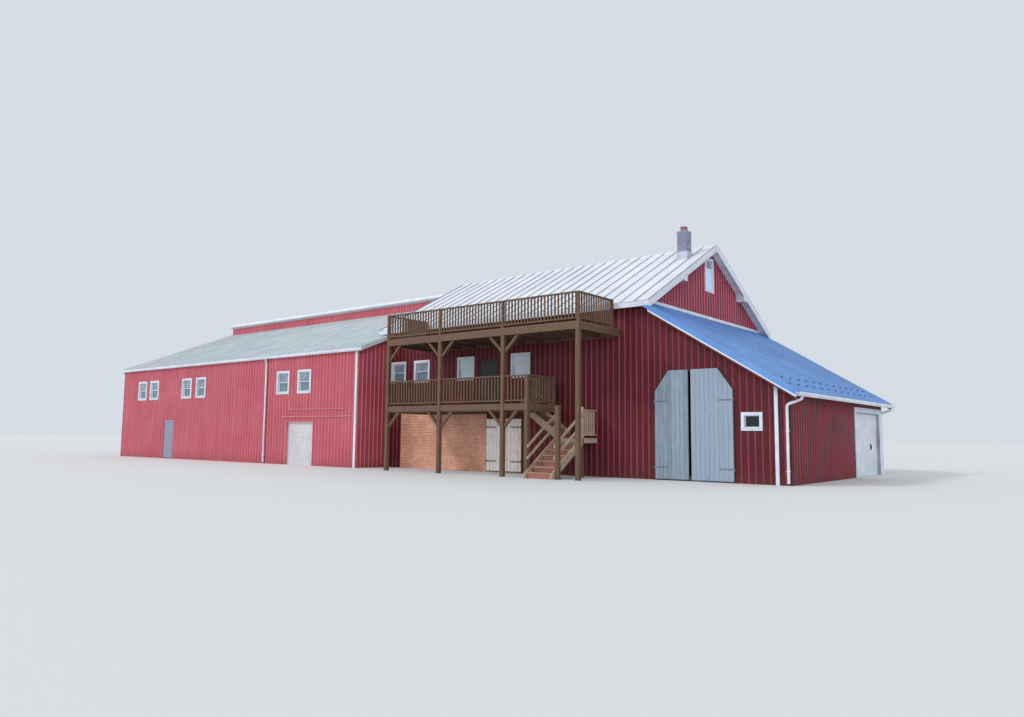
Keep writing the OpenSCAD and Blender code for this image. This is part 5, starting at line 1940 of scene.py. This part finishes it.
@dataclass
class PackedNodes:
    """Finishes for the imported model's own pieces: one for each slot, and some nodes' own."""

    nodes: dict[str, Piece]
    usual: tuple[Finish, ...] = (
        SHEET_PAN_SHADED, ROOF_WHITE, ROOF_SKY_REFLECTION, TRIM_WHITE, GUTTER_WHITE, DECK_LONG, LEAF_CORE, CONCRETE,
        FLOOR_BOARDS, MORTAR, CHIMNEY_MORTAR, CLAY, GLASS, DOOR_DARK, DOOR_GREY, IRON,
    )
    special: tuple[tuple[Finish, tuple[str, ...]], ...] = (
        (SHEET_PAN_GLARE_LIT, (
            "wing_front_wall_left", "wing_front_wall_right", "wing_front_wall_over_door",
            "wing_return_wall", "wing_end_wall", "wing_ridge_wall",
        )),
        (SHEET_PAN_GABLE_SHADED, ("gable_wall",)),
        (ROOF_WING, ("wing_front_roof", "wing_back_roof")),
        (RAKE_WHITE, ("rake_boards",)),
        (STRAP_PAINT, ("hinge_pins",)),
        (DECK_UPRIGHT, ("deck_posts", "deck_braces")),
        (STAIR_SUNLIT, ("stair_stringers", "stair_railings")),
        (DECK_CROSS, ("lower_deck_frame", "upper_deck_frame")),
    )

    def dress(self, record: dict) -> None:
        """Gives each node the finish of its slot, or its own.

        Args:
            record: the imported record, which names each node's slot.
        """
        by_slot = {finish.slot: finish for finish in self.usual}
        finishes = {part["node"]: by_slot[part["material_slot"]] for part in record["subparts"]}
        finishes.update((name, finish) for finish, names in self.special for name in names)
        for name, piece in self.nodes.items():
            finishes[name].dress(piece)
            log.info("%s: %s", name, finishes[name].name)


@dataclass
class Studio:
    """The camera at the photograph's place, a pale floor and soft light."""

    place: Point = (13.022, -28.400, 1.394)
    azimuth: float = 38.975
    pitch: float = 5.717
    roll: float = 0.540
    focal_px: float = 772.9
    width_px: float = 1024.0
    sensor: float = 36.0
    floor_size: float = 900.0

    def camera(self) -> None:
        """Sets the camera from its place and angles."""
        az, pitch, roll = (math.radians(a) for a in (self.azimuth, self.pitch, self.roll))
        ahead = Vector((-math.sin(az) * math.cos(pitch), math.cos(az) * math.cos(pitch), math.sin(pitch)))
        right = Vector((math.cos(az), math.sin(az), 0))
        up = right.cross(ahead)
        turned = math.cos(roll) * right + math.sin(roll) * up
        upright = -math.sin(roll) * right + math.cos(roll) * up
        data = bpy.data.cameras.new("camera")
        data.sensor_fit = "HORIZONTAL"
        data.sensor_width = self.sensor
        data.lens = self.focal_px / self.width_px * self.sensor
        data.clip_end = 500.0
        camera = bpy.data.objects.new("camera", data)
        camera.matrix_world = frame_matrix(self.place, turned, upright, -ahead)
        bpy.context.scene.collection.objects.link(camera)
        bpy.context.scene.camera = camera

    def floor(self) -> None:
        """A wide pale floor just under the building."""
        deselect()
        bpy.ops.mesh.primitive_plane_add(size=self.floor_size, location=(0, 0, -3 * MM))
        floor = bpy.context.active_object
        floor.name = "floor"
        bpy.ops.object.transform_apply(location=True, rotation=True, scale=True)
        made = bpy.data.materials.new("pale-studio-floor")
        made.use_nodes = True
        shader = made.node_tree.nodes["Principled BSDF"]
        shader.inputs["Base Color"].default_value = linear("#dcdcda")
        shader.inputs["Roughness"].default_value = 0.9
        floor.data.materials.append(made)

    def light(self) -> None:
        """A pale world, a soft key from the front left, and weak fills from the right and low in front."""
        world = bpy.data.worlds.new("studio")
        world.use_nodes = True
        back = world.node_tree.nodes["Background"]
        back.inputs["Color"].default_value = linear("#e6edf6")
        back.inputs["Strength"].default_value = 0.85
        bpy.context.scene.world = world
        for name, turn, energy, angle in (
            ("key", (52, 0, -38), 1.1, 12), ("fill", (60, 0, 62), 0.45, 30), ("front", (87, 0, 15), 0.6, 25)
        ):
            data = bpy.data.lights.new(name, "SUN")
            data.energy = energy
            data.angle = math.radians(angle)
            lamp = bpy.data.objects.new(name, data)
            lamp.rotation_euler = [math.radians(a) for a in turn]
            bpy.context.scene.collection.objects.link(lamp)
        bpy.context.scene.view_settings.view_transform = "Standard"

    def build(self) -> None:
        """Sets camera, floor and light."""
        self.camera()
        self.floor()
        self.light()


def main() -> None:
    """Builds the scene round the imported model."""
    logging.basicConfig(level=logging.INFO, format="%(name)s: %(message)s")
    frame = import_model()
    Studio().build()
    PackedNodes(frame["nodes"]).dress(frame["record"])
    for assembly in (
        Cladding, SeamRoofs, Bricks, ChimneyDress, Sashes, PlankDoors, VehicleDoors, DeckBoards,
        Fasteners, Trim,
    ):
        assembly(PLAN).build()
    deselect()


if __name__ == "__main__":
    main()
